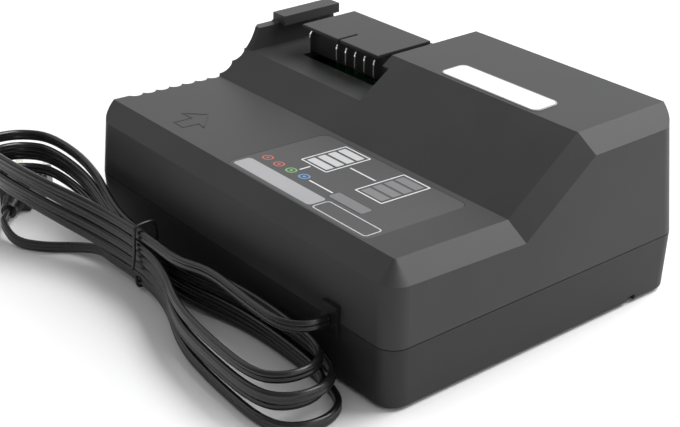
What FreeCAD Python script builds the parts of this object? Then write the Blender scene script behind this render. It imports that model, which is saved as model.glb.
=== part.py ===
import FreeCAD, Part
import math
import os
import re
import Sketcher

# Power tool battery charger: a two-shell moulded housing with a slide-in battery dock, the
# electronics that it holds, and its twin-lead mains cord tied in a hank in front of it.
# X runs along the long front face, +Y points to the back, +Z is up.
# The origin is the centre of the footprint, on the surface that the charger stands on.

doc = FreeCAD.newDocument("battery_charger")
sheet = doc.addObject("Spreadsheet::Sheet", "sizes")

SIZES = [
    # housing
    ("shell_length", 190.0, "length of the housing at the seam"),
    ("shell_width", 146.0, "depth of the housing at the seam"),
    ("corner_radius", 8.0, "radius of the upright corners"),
    ("wall", 2.5, "moulded wall"),
    ("base_gap", 1.0, "height of the tray above the floor"),
    ("seam_height", 25.0, "height of the seam between the shells"),
    ("seam_gap", 0.3, "shadow gap at the seam"),
    ("upper_draft", 4.0, "draft of the upper shell in degrees"),
    ("lower_draft", 1.7, "draft of the tray in degrees"),
    ("deck_front_height", 54.7, "height of the deck at the front"),
    ("deck_foot_height", 52.5, "height of the deck at the foot of the ramp"),
    ("ramp_foot_depth", 61.0, "front face to the foot of the ramp"),
    ("ramp_head_depth", 95.7, "front face to the head of the ramp"),
    ("block_height", 75.7, "height of the high block"),
    ("edge_chamfer", 7.0, "chamfer along the front and right edges"),
    ("edge_round", 0.8, "small round of the moulded edges"),
    ("tray_edge_round", 1.2, "round of the bottom edge"),
    # grip ribs of the left face
    ("rib_pitch", 6.5, "step of the scallops in the left face"),
    ("rib_count", 10.0, "number of scallops"),
    ("rib_radius", 3.6, "radius of one scallop"),
    ("rib_depth", 2.0, "depth of one scallop"),
    ("rib_first_depth", 19.9, "front face to the first scallop"),
    ("rib_bottom_height", 33.0, "height where the scallops begin"),
    # battery dock
    ("dock_width", 74.0, "width of the slide channel"),
    ("dock_inset", 8.0, "left end of the housing to the slide channel"),
    ("dock_floor_height", 62.2, "height of the dock floor"),
    ("lip_reach", 4.0, "overhang of the slide lips"),
    ("lip_height", 4.2, "thickness of the slide lips"),
    ("lip_nose_depth", 90.6, "front face to the front end of the lips"),
    ("rail_end_depth", 121.0, "front face to the rear end of the left rail"),
    ("guide_height", 71.7, "top of the low front part of the left wall"),
    ("guide_run", 4.4, "run of the steep front edge of the left wall"),
    # terminals
    ("hood_inset", 17.5, "left side of the channel to the terminal hood"),
    ("hood_length", 49.0, "length of the terminal hood"),
    ("hood_front_depth", 90.3, "front face to the front edge of the hood"),
    ("hood_run", 28.2, "depth of the hood from front to back"),
    ("hood_top_height", 76.5, "top of the terminal hood"),
    ("hood_plate", 3.2, "thickness of the hood's top plate"),
    ("hood_recess", 6.7, "set-back of the block under the plate"),
    ("hood_slot_width", 1.6, "width of the slot in the plate"),
    ("hood_slot_run", 9.2, "length of the slot in the plate"),
    ("hood_slot_inset", 26.0, "left edge of the hood to the slot"),
    ("hood_flange", 3.0, "flange under the dock floor"),
    ("fit_gap", 0.2, "clearance between fitted pieces"),
    ("seat_gap", 0.3, "clearance between a piece and its seat"),
    ("blade_thickness", 0.9, "thickness of a terminal blade"),
    ("blade_run", 10.0, "depth of a terminal blade"),
    ("blade_reach", 3.8, "blade in front of its block"),
    ("blade_top_height", 71.6, "top of the blades"),
    ("blade_round", 3.2, "rounded upper corner of a blade"),
    ("blade_pitch", 6.0, "step between neighbouring blades"),
    ("blade_count", 5.0, "blades in the close row"),
    ("blade_right_inset", 3.5, "right edge of the hood to the nearest blade"),
    ("blade_left_inset", 3.2, "left edge of the hood to the single blade"),
    ("terminal_board_drop", 6.0, "dock floor underside to the terminal board"),
    # tray
    ("post_inset", 13.0, "screw posts from the side and front faces"),
    ("post_radius", 4.2, "radius of a screw post"),
    ("post_split_height", 19.0, "height where tray boss and upper post meet"),
    ("screw_radius", 1.5, "radius of a case screw"),
    ("screw_length", 22.0, "length of a case screw"),
    ("screw_head_radius", 3.0, "radius of a screw head"),
    ("screw_head_height", 2.2, "height of a screw head"),
    ("screw_sink", 6.0, "depth of the screw recess"),
    ("foot_inset_x", 33.0, "feet from the side faces"),
    ("foot_inset_y", 17.0, "feet from the front and back faces"),
    ("foot_radius", 6.0, "radius of a foot"),
    ("foot_sink", 1.0, "depth of the foot's recess"),
    ("lip_wall", 1.2, "wall of the tongue at the seam"),
    ("tongue_height", 3.0, "height of the tongue above the seam"),
    ("vent_count", 9.0, "ventilation slots in the tray floor"),
    ("vent_pitch", 8.0, "step of the ventilation slots"),
    ("vent_width", 3.0, "width of a ventilation slot"),
    ("vent_length", 46.0, "length of a ventilation slot"),
    ("notch_depth_place", 122.4, "front face to the notch in the right side"),
    ("notch_width", 4.5, "width of the notch"),
    ("notch_height", 2.6, "height of the notch"),
    ("notch_sink", 1.6, "depth of the notch"),
    # electronics
    ("board_inset_x", 23.0, "side faces to the circuit board"),
    ("board_inset_y", 22.0, "front and back faces to the circuit board"),
    ("board_thickness", 1.6, "thickness of the circuit boards"),
    ("board_boss_height", 6.0, "height of the board bosses"),
    ("board_screw_inset", 6.0, "edges of the circuit board to its screws"),
    ("board_screw_radius", 1.3, "radius of a board screw"),
    ("board_screw_length", 6.0, "length of a board screw"),
    ("core_length", 40.0, "length of the transformer core"),
    ("core_width", 14.0, "width of the transformer core"),
    ("core_height", 34.0, "height of the transformer core"),
    ("core_leg", 12.0, "middle leg of the transformer core"),
    ("core_window", 8.0, "width of a core window"),
    ("core_yoke", 6.0, "yoke of the transformer core"),
    ("bobbin_height", 4.0, "height of the transformer's pin base"),
    ("winding_swell", 8.0, "winding in front of and behind the core"),
    ("core_x", 20.0, "transformer centre along X"),
    ("core_y", 14.0, "transformer centre along Y"),
    ("bulk_radius", 12.5, "radius of the bulk capacitor"),
    ("bulk_height", 42.0, "height of the bulk capacitor"),
    ("bulk_x", 54.0, "bulk capacitor centre along X"),
    ("bulk_y", 22.0, "bulk capacitor centre along Y"),
    ("small_can_radius", 6.3, "radius of an output capacitor"),
    ("small_can_height", 25.0, "height of an output capacitor"),
    ("small_can_x", -24.0, "output capacitors along X"),
    ("small_can_y", -22.0, "first output capacitor along Y"),
    ("small_can_pitch", 15.0, "step between the output capacitors"),
    ("sink_length", 58.0, "length of the heat sink"),
    ("sink_plate", 3.5, "thickness of the heat sink plate"),
    ("sink_height", 34.0, "height of the heat sink"),
    ("sink_fin_run", 11.0, "reach of a heat sink fin"),
    ("sink_fin_count", 9.0, "number of heat sink fins"),
    ("sink_fin", 1.6, "thickness of a heat sink fin"),
    ("sink_x", -33.0, "heat sink centre along X"),
    ("sink_gap", 12.7, "front of the terminal hood to the heat sink"),
    ("device_width", 10.2, "width of a power device"),
    ("device_thickness", 4.6, "thickness of a power device"),
    ("device_height", 18.0, "height of a power device"),
    ("device_spacing", 24.0, "step between the power devices"),
    ("choke_ring", 8.0, "ring radius of the line choke"),
    ("choke_wire", 4.2, "section radius of the line choke"),
    ("choke_x", 44.0, "line choke centre along X"),
    ("choke_y", -20.0, "line choke centre along Y"),
    ("film_length", 18.0, "length of the film capacitor"),
    ("film_width", 8.5, "width of the film capacitor"),
    ("film_height", 15.0, "height of the film capacitor"),
    ("film_x", 20.0, "film capacitor centre along X"),
    ("film_y", -22.0, "film capacitor centre along Y"),
    ("fuse_length", 20.0, "length of the fuse"),
    ("fuse_radius", 2.6, "radius of the fuse"),
    ("fuse_x", 40.0, "fuse centre along X"),
    ("fuse_inset", 9.0, "front edge of the circuit board to the fuse"),
    ("fuse_clip", 3.0, "width of a fuse clip"),
    ("chip_length", 12.0, "length of the control chip"),
    ("chip_width", 8.0, "width of the control chip"),
    ("chip_height", 2.2, "height of the control chip"),
    ("chip_x", -46.0, "control chip centre along X"),
    ("chip_y", -12.0, "control chip centre along Y"),
    # deck fittings
    ("label_length", 82.1, "length of the panel label"),
    ("label_inset", 25.4, "right end of the housing to the panel label"),
    ("label_front_depth", 10.0, "front face to the panel label"),
    ("label_run", 48.0, "depth of the panel label"),
    ("label_thickness", 0.35, "thickness of the labels"),
    ("label_sink", 0.4, "recess under the panel label"),
    ("label_corner", 4.0, "corner radius of the labels"),
    ("window_inset", 26.1, "right edge of the panel label to the indicator window"),
    ("window_depth", 24.6, "front face to the centre of the indicator window"),
    ("window_length", 19.0, "length of the indicator window"),
    ("window_width", 5.4, "width of the indicator window"),
    ("lens_flange", 1.5, "flange of the lens under the deck"),
    ("light_board_drop", 6.0, "deck underside to the indicator board"),
    ("light_board_length", 40.0, "length of the indicator board"),
    ("light_board_width", 14.0, "width of the indicator board"),
    ("ribbon_inset", 6.0, "left end of the indicator board to the ribbon"),
    ("ribbon_width", 8.0, "width of the ribbon"),
    ("ribbon_thickness", 0.8, "thickness of the ribbon"),
    ("light_size", 3.2, "side of an indicator light"),
    ("light_height", 1.8, "height of an indicator light"),
    ("badge_inset", 33.2, "right end of the housing to the badge"),
    ("badge_length", 52.4, "length of the badge"),
    ("badge_front_depth", 97.4, "front face to the badge"),
    ("badge_width", 13.2, "width of the badge"),
    ("badge_corner", 3.0, "corner radius of the badge"),
    # cord
    ("cord_diameter", 4.6, "width over the flat twin lead"),
    ("exit_inset", 30.5, "right end of the housing to the cord exit"),
    ("exit_height", 25.5, "cord exit height"),
    ("grommet_width", 6.0, "width of the grommet's neck"),
    ("grommet_height", 10.0, "height of the grommet's neck"),
    ("grommet_flange", 1.5, "flange of the grommet"),
    ("grommet_rim", 1.2, "rim of the flange round the neck"),
    ("grommet_tail", 14.0, "tapered tail of the grommet inside the housing"),
    ("battery_lead_spacing", 32.0, "distance between the leads to the terminal board"),
    ("lead_radius", 1.0, "radius of a single internal lead"),
    ("waist_x", -42.0, "tie of the hank along X"),
    ("waist_y", -89.0, "tie of the hank along Y"),
    ("hank_angle", -2.0, "turn of the hank's axis in degrees"),
    ("hank_loops", 4.0, "loops of the hank"),
    ("hank_step", 5.6, "height step between loops"),
    ("hank_column", 5.1, "distance between the two columns at the tie"),
    ("hank_right_reach", 116.0, "tie to the right end of the first loop"),
    ("hank_right_growth", 3.0, "more reach of each lower loop"),
    ("hank_right_half", 14.0, "half width of the right lobes"),
    ("hank_left_reach", 104.0, "tie to the left end of the first loop"),
    ("hank_left_half", 16.0, "half width of the left lobes"),
    ("hank_left_shrink", 2.0, "less reach of each lower loop on the left"),
    ("hank_lift", 11.0, "rise of the left lobes over the plug"),
    ("hank_floor_gap", 0.1, "lowest loop above the floor"),
    ("tie_room", 2.2, "room for the tie under the bundle"),
    ("tie_wire", 1.5, "wire diameter of the twist tie"),
    ("tie_gap", 0.6, "twist tie to the bundle"),
    ("plug_length", 25.0, "length of the plug body"),
    ("plug_width", 22.0, "width of the plug body"),
    ("plug_height", 12.0, "height of the plug body"),
    ("plug_neck", 12.0, "length of the ribbed neck"),
    ("plug_angle", 140.0, "direction of the plug in degrees"),
    ("prong_length", 16.0, "length of a plug blade"),
    ("prong_width", 6.3, "width of a plug blade"),
    ("prong_thickness", 1.5, "thickness of a plug blade"),
    ("prong_spacing", 12.7, "distance between the plug blades"),
    ("floor_gap", 0.1, "plug above the floor"),
]
for row, (alias, value, meaning) in enumerate(SIZES, start=1):
    sheet.set(f"A{row}", alias)
    sheet.set(f"B{row}", str(value))
    sheet.set(f"C{row}", meaning)
    sheet.setAlias(f"B{row}", alias)
doc.recompute()
ALIASES = {alias for alias, value, meaning in SIZES}


def formula(text):
    """A formula on the sheet's names, written with the bare names."""
    return re.sub(r"[a-z_]+", lambda found: "sizes." + found[0] if found[0] in ALIASES else found[0], str(text))


def worth(text):
    """The present value of a formula."""
    return float(sheet.evalExpression(formula(text)))


def bind(thing, **links):
    for path, text in links.items():
        thing.setExpression(path.replace("__", "."), formula(text))


NODES = []


def node(thing, label):
    """Marks a finished sub-part under its own name."""
    thing.Label = label
    NODES.append(thing)
    return thing


# simple solids and their combinations
def box(name, x, y, z, length, width, height):
    """A box with its lowest corner at x, y, z."""
    solid = doc.addObject("Part::Box", name)
    bind(solid, Length=length, Width=width, Height=height)
    bind(solid, Placement__Base__x=x, Placement__Base__y=y, Placement__Base__z=z)
    return solid


def centred_box(name, x, y, z, length, width, height):
    """A box centred on x and y that stands on z."""
    return box(name, f"{x} - ({length}) / 2", f"{y} - ({width}) / 2", z, length, width, height)


def rod(name, x, y, z, radius, height, along=None):
    """A cylinder from x, y, z along Z, or along the axis given."""
    solid = doc.addObject("Part::Cylinder", name)
    if along is not None:
        turn = FreeCAD.Rotation(FreeCAD.Vector(0, 0, 1), along)
        solid.Placement = FreeCAD.Placement(FreeCAD.Vector(), turn)
    bind(solid, Radius=radius, Height=height)
    bind(solid, Placement__Base__x=x, Placement__Base__y=y, Placement__Base__z=z)
    return solid


def cut(name, base, tool):
    result = doc.addObject("Part::Cut", name)
    result.Base = base
    result.Tool = tool
    return result


def join(name, pieces):
    result = doc.addObject("Part::MultiFuse", name)
    result.Shapes = pieces
    return result


def common(name, first, second):
    result = doc.addObject("Part::Common", name)
    result.Base = first
    result.Tool = second
    return result


def group(name, pieces):
    """Separate solids that share one node."""
    result = doc.addObject("Part::Compound", name)
    result.Links = pieces
    return result


# bodies, sketches and features
def new_body(name):
    return doc.addObject("PartDesign::Body", name)


def sketch_on(body, name, role, offset="0"):
    """A sketch on one of the body's own origin planes, moved along its normal."""
    plane = [feature for feature in body.Origin.OriginFeatures if feature.Role == role][0]
    sketch = body.newObject("Sketcher::SketchObject", name)
    sketch.AttachmentSupport = [(plane, "")]
    sketch.MapMode = "FlatFace"
    bind(sketch, AttachmentOffset__Base__z=offset)
    return sketch


def outline(sketch, corners):
    """A closed outline through corners, each held to the sketch's origin by two distances."""
    first = sketch.GeometryCount
    points = [FreeCAD.Vector(worth(across), worth(up), 0) for across, up in corners]
    for index, start in enumerate(points):
        end = points[(index + 1) % len(points)]
        sketch.addGeometry(Part.LineSegment(start, end), False)
    for index in range(len(points)):
        following = first + (index + 1) % len(points)
        sketch.addConstraint(Sketcher.Constraint("Coincident", first + index, 2, following, 1))
    for index, (across, up) in enumerate(corners):
        for kind, text in (("DistanceX", across), ("DistanceY", up)):
            held = Sketcher.Constraint(kind, -1, 1, first + index, 1, worth(text))
            number = sketch.addConstraint(held)
            sketch.setExpression(f"Constraints[{number}]", formula(text))


def pad(body, name, sketch, length):
    feature = body.newObject("PartDesign::Pad", name)
    feature.Profile = sketch
    bind(feature, Length=length)
    return feature


def edges_where(feature, test):
    """Names of the edges of a feature that pass the test."""
    doc.recompute()
    edges = enumerate(feature.Shape.Edges, start=1)
    return [f"Edge{number}" for number, edge in edges if test(edge)]


def soften(body, name, kind, feature, test, size):
    """A fillet or chamfer on the edges that pass the test."""
    names = edges_where(feature, test)
    result = body.newObject("PartDesign::" + kind, name)
    result.Refine = False
    result.Base = (feature, names)
    bind(result, **{"Radius" if kind == "Fillet" else "Size": size})
    return result


def rise(edge):
    """How far an edge climbs from one end to the other."""
    return abs(edge.Vertexes[0].Z - edge.Vertexes[-1].Z)


def drafted_block(name, left, right, front, back, z_low, z_high, inset_low, inset_high):
    """A block with four sloping sides: the plan rectangle moves in by one inset at the bottom
    and by the other at the top."""
    wedge = doc.addObject("Part::Wedge", name)
    wedge.Placement = FreeCAD.Placement(FreeCAD.Vector(), FreeCAD.Rotation(FreeCAD.Vector(1, 0, 0), 90))
    bind(wedge, Ymin=z_low, Ymax=z_high)
    bind(wedge, Xmin=f"{left} + {inset_low}", Xmax=f"{right} - {inset_low}")
    bind(wedge, Zmin=f"-({back}) + {inset_low}", Zmax=f"-({front}) - {inset_low}")
    bind(wedge, X2min=f"{left} + {inset_high}", X2max=f"{right} - {inset_high}")
    bind(wedge, Z2min=f"-({back}) + {inset_high}", Z2max=f"-({front}) - {inset_high}")
    return wedge


def dress(name, kind, base, test, size):
    """A fillet or chamfer on the edges of a drafted block that pass the test."""
    doc.recompute()
    result = doc.addObject("Part::" + kind, name)
    result.Base = base
    amount = worth(size)
    edges = enumerate(base.Shape.Edges, start=1)
    result.Edges = [(number, amount, amount) for number, edge in edges if test(edge)]
    return result


def drafted_plan(name, left, right, front, back, z_low, z_high, radius, draft, hangs=False):
    """A drafted block with rounded corners that narrows upward, or downward where it hangs."""
    lean = f"({z_high} - ({z_low})) * tan({draft})"
    insets = (lean, "0") if hangs else ("0", lean)
    block = drafted_block(name + "_block", left, right, front, back, z_low, z_high, *insets)
    tall = 0.9 * worth(f"{z_high} - ({z_low})")
    return dress(name, "Fillet", block, lambda edge: rise(edge) > tall, radius)


def plan_block(name, left, right, front, back, z_low, height, radius):
    """A block with rounded upright corners that rises from z_low."""
    body = new_body(name)
    sketch = sketch_on(body, name + "_plan", "XY_Plane", z_low)
    outline(sketch, [(left, front), (right, front), (right, back), (left, back)])
    raised = pad(body, name + "_pad", sketch, height)
    tall = 0.9 * worth(height)
    soften(body, name + "_corners", "Fillet", raised, lambda edge: rise(edge) > tall, radius)
    return body


def prism_x(name, corners, x_low, x_high):
    """A prism along X over an outline in the Y-Z plane."""
    body = new_body(name)
    sketch = sketch_on(body, name + "_side", "YZ_Plane", x_low)
    outline(sketch, corners)
    pad(body, name + "_pad", sketch, f"({x_high}) - ({x_low})")
    return body


# places that several pieces share
FRONT = "-shell_width / 2"
BACK = "shell_width / 2"
RAMP_FOOT = "(ramp_foot_depth - shell_width / 2)"
RAMP_HEAD = "(ramp_head_depth - shell_width / 2)"
RAMP_SLOPE = "(block_height - deck_foot_height) / (ramp_head_depth - ramp_foot_depth)"
DECK_SLOPE = "(deck_front_height - deck_foot_height) / ramp_foot_depth"
DOCK_LEFT = "(dock_inset - shell_length / 2)"
DOCK_RIGHT = f"({DOCK_LEFT} + dock_width)"
HOOD_LEFT = f"({DOCK_LEFT} + hood_inset)"
HOOD_RIGHT = f"({HOOD_LEFT} + hood_length)"
FLOOR_TOP = "(base_gap + wall)"
BOARD_UNDER = f"({FLOOR_TOP} + board_boss_height)"
BOARD_TOP = f"({BOARD_UNDER} + board_thickness)"
TRAY_TOP = "(seam_height - seam_gap)"
POST_X = "(shell_length / 2 - post_inset)"
POST_Y = "(shell_width / 2 - post_inset)"
FOOT_X = "(shell_length / 2 - foot_inset_x)"
FOOT_Y = "(shell_width / 2 - foot_inset_y)"
BOARD_LENGTH = "(shell_length - 2 * board_inset_x)"
BOARD_WIDTH = "(shell_width - 2 * board_inset_y)"
SCREW_X = f"({BOARD_LENGTH} / 2 - board_screw_inset)"
SCREW_Y = f"({BOARD_WIDTH} / 2 - board_screw_inset)"
EXIT_X = "(shell_length / 2 - exit_inset)"
FAR = "20"


def housing_form(name, inset, left_inset, base, chamfer, radius):
    """The upper shell's moulded form: drafted walls, low deck, ramp and high block, with a
    chamfer along the front edge, the near corner and the right edge. The cavity is the same
    form, set in by the wall."""
    top = f"(block_height - ({inset}))"
    block = drafted_block(
        name + "_block", f"-shell_length / 2 + ({inset}) + ({left_inset})",
        f"shell_length / 2 - ({inset})", f"{FRONT} + ({inset})", f"{BACK} - ({inset})", base, top,
        f"(({base}) - seam_height) * tan(upper_draft)", f"({top} - seam_height) * tan(upper_draft)")
    solid = inset == "0"

    def near_corner(edge):
        spot = edge.CenterOfMass
        return rise(edge) > 40.0 and spot.x > 0 and spot.y < 0

    if solid:
        block = dress(name + "_near_corner", "Fillet", block, near_corner, radius)
    bend = f"({inset}) * tan(atan({RAMP_SLOPE}) / 2)"
    beyond = f"({FRONT} - {FAR})"
    above = prism_x(name + "_above", [
        (beyond, f"deck_front_height + {FAR} * {DECK_SLOPE} - ({inset})"),
        (f"{RAMP_FOOT} + {bend}", f"deck_foot_height - ({inset})"),
        (f"{RAMP_HEAD} + {bend} + {FAR} / ({RAMP_SLOPE})", f"block_height - ({inset}) + {FAR}"),
        (beyond, f"block_height - ({inset}) + {FAR}"),
    ], "-shell_length", "shell_length")
    stepped = cut(name + "_stepped", block, above)
    crown = worth(top)
    low_top = worth("deck_foot_height") - worth(inset) - 1.0
    front_zone = worth(FRONT) + worth("corner_radius") + 4.0
    right_zone = worth("shell_length") / 2 - worth("corner_radius") - 12.0
    back_zone = worth(BACK) - worth("corner_radius")

    def crest(edge):
        """Top edges along the front, round the near corner and along the right side."""
        spot = edge.CenterOfMass
        if edge.BoundBox.ZMin < low_top or rise(edge) > crown - low_top + 2.0:
            return False
        along_front = spot.y < front_zone and edge.BoundBox.YLength < 12.0
        along_right = spot.x > right_zone and edge.BoundBox.XLength < 12.0
        return along_front and spot.z < crown - 5.0 or along_right and spot.y < back_zone

    chamfered = dress(name + "_crest", "Chamfer", stepped, crest, chamfer)

    def upright(edge):
        spot = edge.CenterOfMass
        slim = edge.BoundBox.YLength < 6.0 and edge.BoundBox.XLength < 6.0
        outer = abs(spot.y) > worth(BACK) - 12.0
        return rise(edge) > 12.0 and slim and outer and not (solid and spot.x > 0 and spot.y < 0)

    return dress(name, "Fillet", chamfered, upright, radius)


# upper shell: moulded form, dock, hollow, posts, seats for the label, lens and grommet
form = housing_form("shell_form", "0", "0", "seam_height", "edge_chamfer", "corner_radius")
stock = drafted_plan("wall_stock", "-shell_length / 2", "shell_length / 2", FRONT, BACK,
                     "seam_height", "block_height", "corner_radius", "upper_draft")
GUIDE_FOOT = f"({RAMP_FOOT} + (dock_floor_height - deck_foot_height) / ({RAMP_SLOPE}))"
LIP_NOSE = "(lip_nose_depth - shell_width / 2)"
RAIL_END = "(rail_end_depth - shell_width / 2)"
guide = prism_x("guide_outline", [
    (GUIDE_FOOT, "dock_floor_height - wall"),
    (GUIDE_FOOT, "dock_floor_height"),
    (f"{GUIDE_FOOT} + guide_run", "guide_height"),
    (LIP_NOSE, "guide_height"),
    (LIP_NOSE, "block_height"),
    (RAIL_END, "block_height"),
    (RAIL_END, "dock_floor_height - wall"),
], "-shell_length / 2 - wall", f"{DOCK_LEFT} + lip_reach")
left_guide = common("left_guide", stock, guide)
walled = join("walled_form", [form, left_guide])

LIP_UNDER = "(block_height - lip_height)"
channel = box("dock_channel", DOCK_LEFT, RAMP_FOOT, "dock_floor_height",
              "dock_width", "shell_width", f"{LIP_UNDER} - dock_floor_height")
mouth = box("dock_mouth", f"{DOCK_LEFT} + lip_reach", RAMP_FOOT, "dock_floor_height",
            "dock_width - 2 * lip_reach", "shell_width", f"block_height - dock_floor_height + {FAR}")
lead_in = box("dock_lead_in", DOCK_LEFT, RAMP_FOOT, "dock_floor_height",
              "dock_width", f"{LIP_NOSE} - {RAMP_FOOT}", f"block_height - dock_floor_height + {FAR}")
open_back = box("dock_open_back", "-shell_length / 2 - wall", RAIL_END, "dock_floor_height",
                f"shell_length / 2 + wall + {DOCK_LEFT} + lip_reach", "shell_width",
                f"block_height - dock_floor_height + {FAR}")
dock_space = join("dock_space", [channel, mouth, lead_in, open_back])
docked = cut("docked_form", walled, dock_space)

# scallops of the left face follow its draft
scallops = []
tilt = FreeCAD.Rotation(FreeCAD.Vector(0, 1, 0), worth("upper_draft"))
for number in range(int(worth("rib_count"))):
    scallop = doc.addObject("Part::Cylinder", f"scallop_{number}")
    scallop.Placement = FreeCAD.Placement(FreeCAD.Vector(), tilt)
    bind(scallop, Radius="rib_radius", Height="block_height")
    bind(
        scallop,
        Placement__Base__x="-shell_length / 2 + rib_depth - rib_radius"
                           " + (rib_bottom_height - seam_height) * tan(upper_draft)",
        Placement__Base__y=f"{FRONT} + rib_first_depth + {number} * rib_pitch",
        Placement__Base__z="rib_bottom_height",
        Placement__Rotation__Angle="upper_draft",
    )
    scallops.append(scallop)
ribbed = cut("ribbed_form", docked, join("scallop_row", scallops))

hollow = housing_form("shell_hollow", "wall", "rib_depth", "seam_height - tongue_height",
                      "edge_chamfer - wall * (2 - sqrt(2))", "corner_radius - wall")
under_dock = box("under_dock", "-shell_length", "-shell_width", "dock_floor_height - wall",
                 f"shell_length + {DOCK_RIGHT} + wall", "shell_width * 2", "block_height")
hollow_low = cut("shell_hollow_low", hollow, under_dock)
posts = [
    rod(f"upper_post_{number}", f"{sx} * {POST_X}", f"{sy} * {POST_Y}", "post_split_height",
        "post_radius", "block_height")
    for number, (sx, sy) in enumerate([(-1, -1), (1, -1), (1, 1), (-1, 1)])
]
# the two rear posts stand in the dock and block, the front ones under the deck
hollow_posted = cut("shell_hollow_posted", hollow_low, join("upper_posts", posts))
skin = cut("shell_skin", ribbed, hollow_posted)
post_feet = [
    rod(f"post_foot_{number}", f"{sx} * {POST_X}", f"{sy} * {POST_Y}", "post_split_height",
        "post_radius", "seam_height - post_split_height")
    for number, (sx, sy) in enumerate([(-1, -1), (1, -1), (1, 1), (-1, 1)])
]
pilots = [
    rod(f"pilot_{number}", f"{sx} * {POST_X}", f"{sy} * {POST_Y}", "0", "screw_radius + fit_gap / 2",
        "base_gap + screw_sink + screw_length + 2")
    for number, (sx, sy) in enumerate([(-1, -1), (1, -1), (1, 1), (-1, 1)])
]
posted = join("posted_shell", [skin] + post_feet)
pilot_holes = join("pilot_holes", pilots)

deck_tilt = FreeCAD.Rotation(FreeCAD.Vector(1, 0, 0), -1)


def on_deck(name, x, depth, drop, length, run, height, corner):
    """A rounded plate that lies along the sloping deck. depth is from the front face to its
    front edge, drop is how far it reaches below the deck."""
    plate = plan_block(name, "0", length, "0", run, "0", height, corner)
    bind(
        plate,
        Placement__Base__x=x,
        Placement__Base__y=f"{FRONT} + {depth}",
        Placement__Base__z=f"deck_front_height - ({depth}) * {DECK_SLOPE} - ({drop})",
        Placement__Rotation__Angle=f"atan({DECK_SLOPE})",
    )
    return plate


def tilted(plate):
    plate.Placement = FreeCAD.Placement(FreeCAD.Vector(), FreeCAD.Rotation(FreeCAD.Vector(-1, 0, 0), 2))
    return plate


LABEL_LEFT = "(shell_length / 2 - label_inset - label_length)"
WINDOW_X = "(shell_length / 2 - label_inset - window_inset)"
label_seat = on_deck("label_seat", f"{LABEL_LEFT} - fit_gap / 2", "label_front_depth - fit_gap / 2",
                     "label_sink", "label_length + fit_gap", "label_run + fit_gap",
                     "wall", "label_corner")
WINDOW_FRONT = "(window_depth - window_width / 2)"
window_hole = on_deck("window_hole", f"{WINDOW_X} - window_length / 2 - fit_gap",
                      f"{WINDOW_FRONT} - fit_gap", "wall + 1", "window_length + 2 * fit_gap",
                      "window_width + 2 * fit_gap", "wall * 2", "1")
grommet_gate = centred_box("grommet_gate", EXIT_X, f"({FRONT})",
                           "exit_height - grommet_height / 2 - fit_gap",
                           "grommet_width + 2 * fit_gap", "wall * 4", "grommet_height + 2 * fit_gap")
HOOD_MIDDLE = f"({HOOD_LEFT} + hood_length / 2)"
HOOD_FRONT = "(hood_front_depth - shell_width / 2)"
HOOD_MIDDLE_Y = f"({HOOD_FRONT} + hood_run / 2)"
hood_gate = centred_box("hood_gate", HOOD_MIDDLE, HOOD_MIDDLE_Y, "dock_floor_height - wall * 2",
                        "hood_length + 2 * fit_gap", "hood_run + 2 * fit_gap", "wall * 4")
openings = join("shell_openings", [pilot_holes, label_seat, window_hole, grommet_gate, hood_gate])
upper_shell = node(cut("upper_shell_solid", posted, openings), "upper_shell")

# lower tray: drafted wall, tongue, bosses, screw and foot recesses, vents and the side notch
tray_sharp = drafted_plan("tray_form", "-shell_length / 2", "shell_length / 2", FRONT, BACK,
                          "base_gap", TRAY_TOP, "corner_radius", "lower_draft", True)
bottom = worth("base_gap")
tray = dress("tray_rounded", "Fillet", tray_sharp, lambda edge: edge.BoundBox.ZMax < bottom + 0.5,
             "tray_edge_round")
tray_hollow = drafted_plan("tray_hollow", "-shell_length / 2 + wall", "shell_length / 2 - wall",
                           f"{FRONT} + wall", f"{BACK} - wall", FLOOR_TOP, f"{TRAY_TOP} + 0.001",
                           "corner_radius - wall", "lower_draft", True)
tray_shell = cut("tray_shell", tray, tray_hollow)
TONGUE = "(wall + fit_gap)"
tongue_outer = plan_block("tongue_outer", f"-shell_length / 2 + {TONGUE} + rib_depth",
                          f"shell_length / 2 - {TONGUE}", f"{FRONT} + {TONGUE}", f"{BACK} - {TONGUE}",
                          f"{TRAY_TOP} - tongue_height", "seam_gap + 2 * tongue_height - 1",
                          "corner_radius - wall")
tongue_inner = plan_block("tongue_inner", f"-shell_length / 2 + {TONGUE} + rib_depth + lip_wall",
                          f"shell_length / 2 - {TONGUE} - lip_wall",
                          f"{FRONT} + {TONGUE} + lip_wall", f"{BACK} - {TONGUE} - lip_wall",
                          f"{TRAY_TOP} - tongue_height - 1", "seam_gap + 2 * tongue_height + 1",
                          "corner_radius - wall - lip_wall")
tongue = cut("tongue", tongue_outer, tongue_inner)
bosses = [
    rod(f"tray_boss_{number}", f"{sx} * {POST_X}", f"{sy} * {POST_Y}", "base_gap + 0.2", "post_radius",
        "post_split_height - base_gap - 0.2")
    for number, (sx, sy) in enumerate([(-1, -1), (1, -1), (1, 1), (-1, 1)])
]
board_bosses = [
    rod(f"board_boss_{number}", f"{sx} * {SCREW_X}", f"{sy} * {SCREW_Y}", "base_gap + 0.5",
        "board_screw_radius * 2.5", f"{BOARD_UNDER} - base_gap - 0.5")
    for number, (sx, sy) in enumerate([(-1, -1), (1, -1), (1, 1), (-1, 1)])
]
tongue_tie = plan_block("tongue_tie_outer", "-shell_length / 2 + wall - 0.5",
                        "shell_length / 2 - wall + 0.5", f"{FRONT} + wall - 0.5", f"{BACK} - wall + 0.5",
                        f"{TRAY_TOP} - tongue_height", "tongue_height", "corner_radius - wall")
tongue_root = cut("tongue_root", tongue_tie, tongue_inner)
tray_whole = join("tray_whole", [tray_shell, tongue, tongue_root] + bosses + board_bosses)
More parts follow.
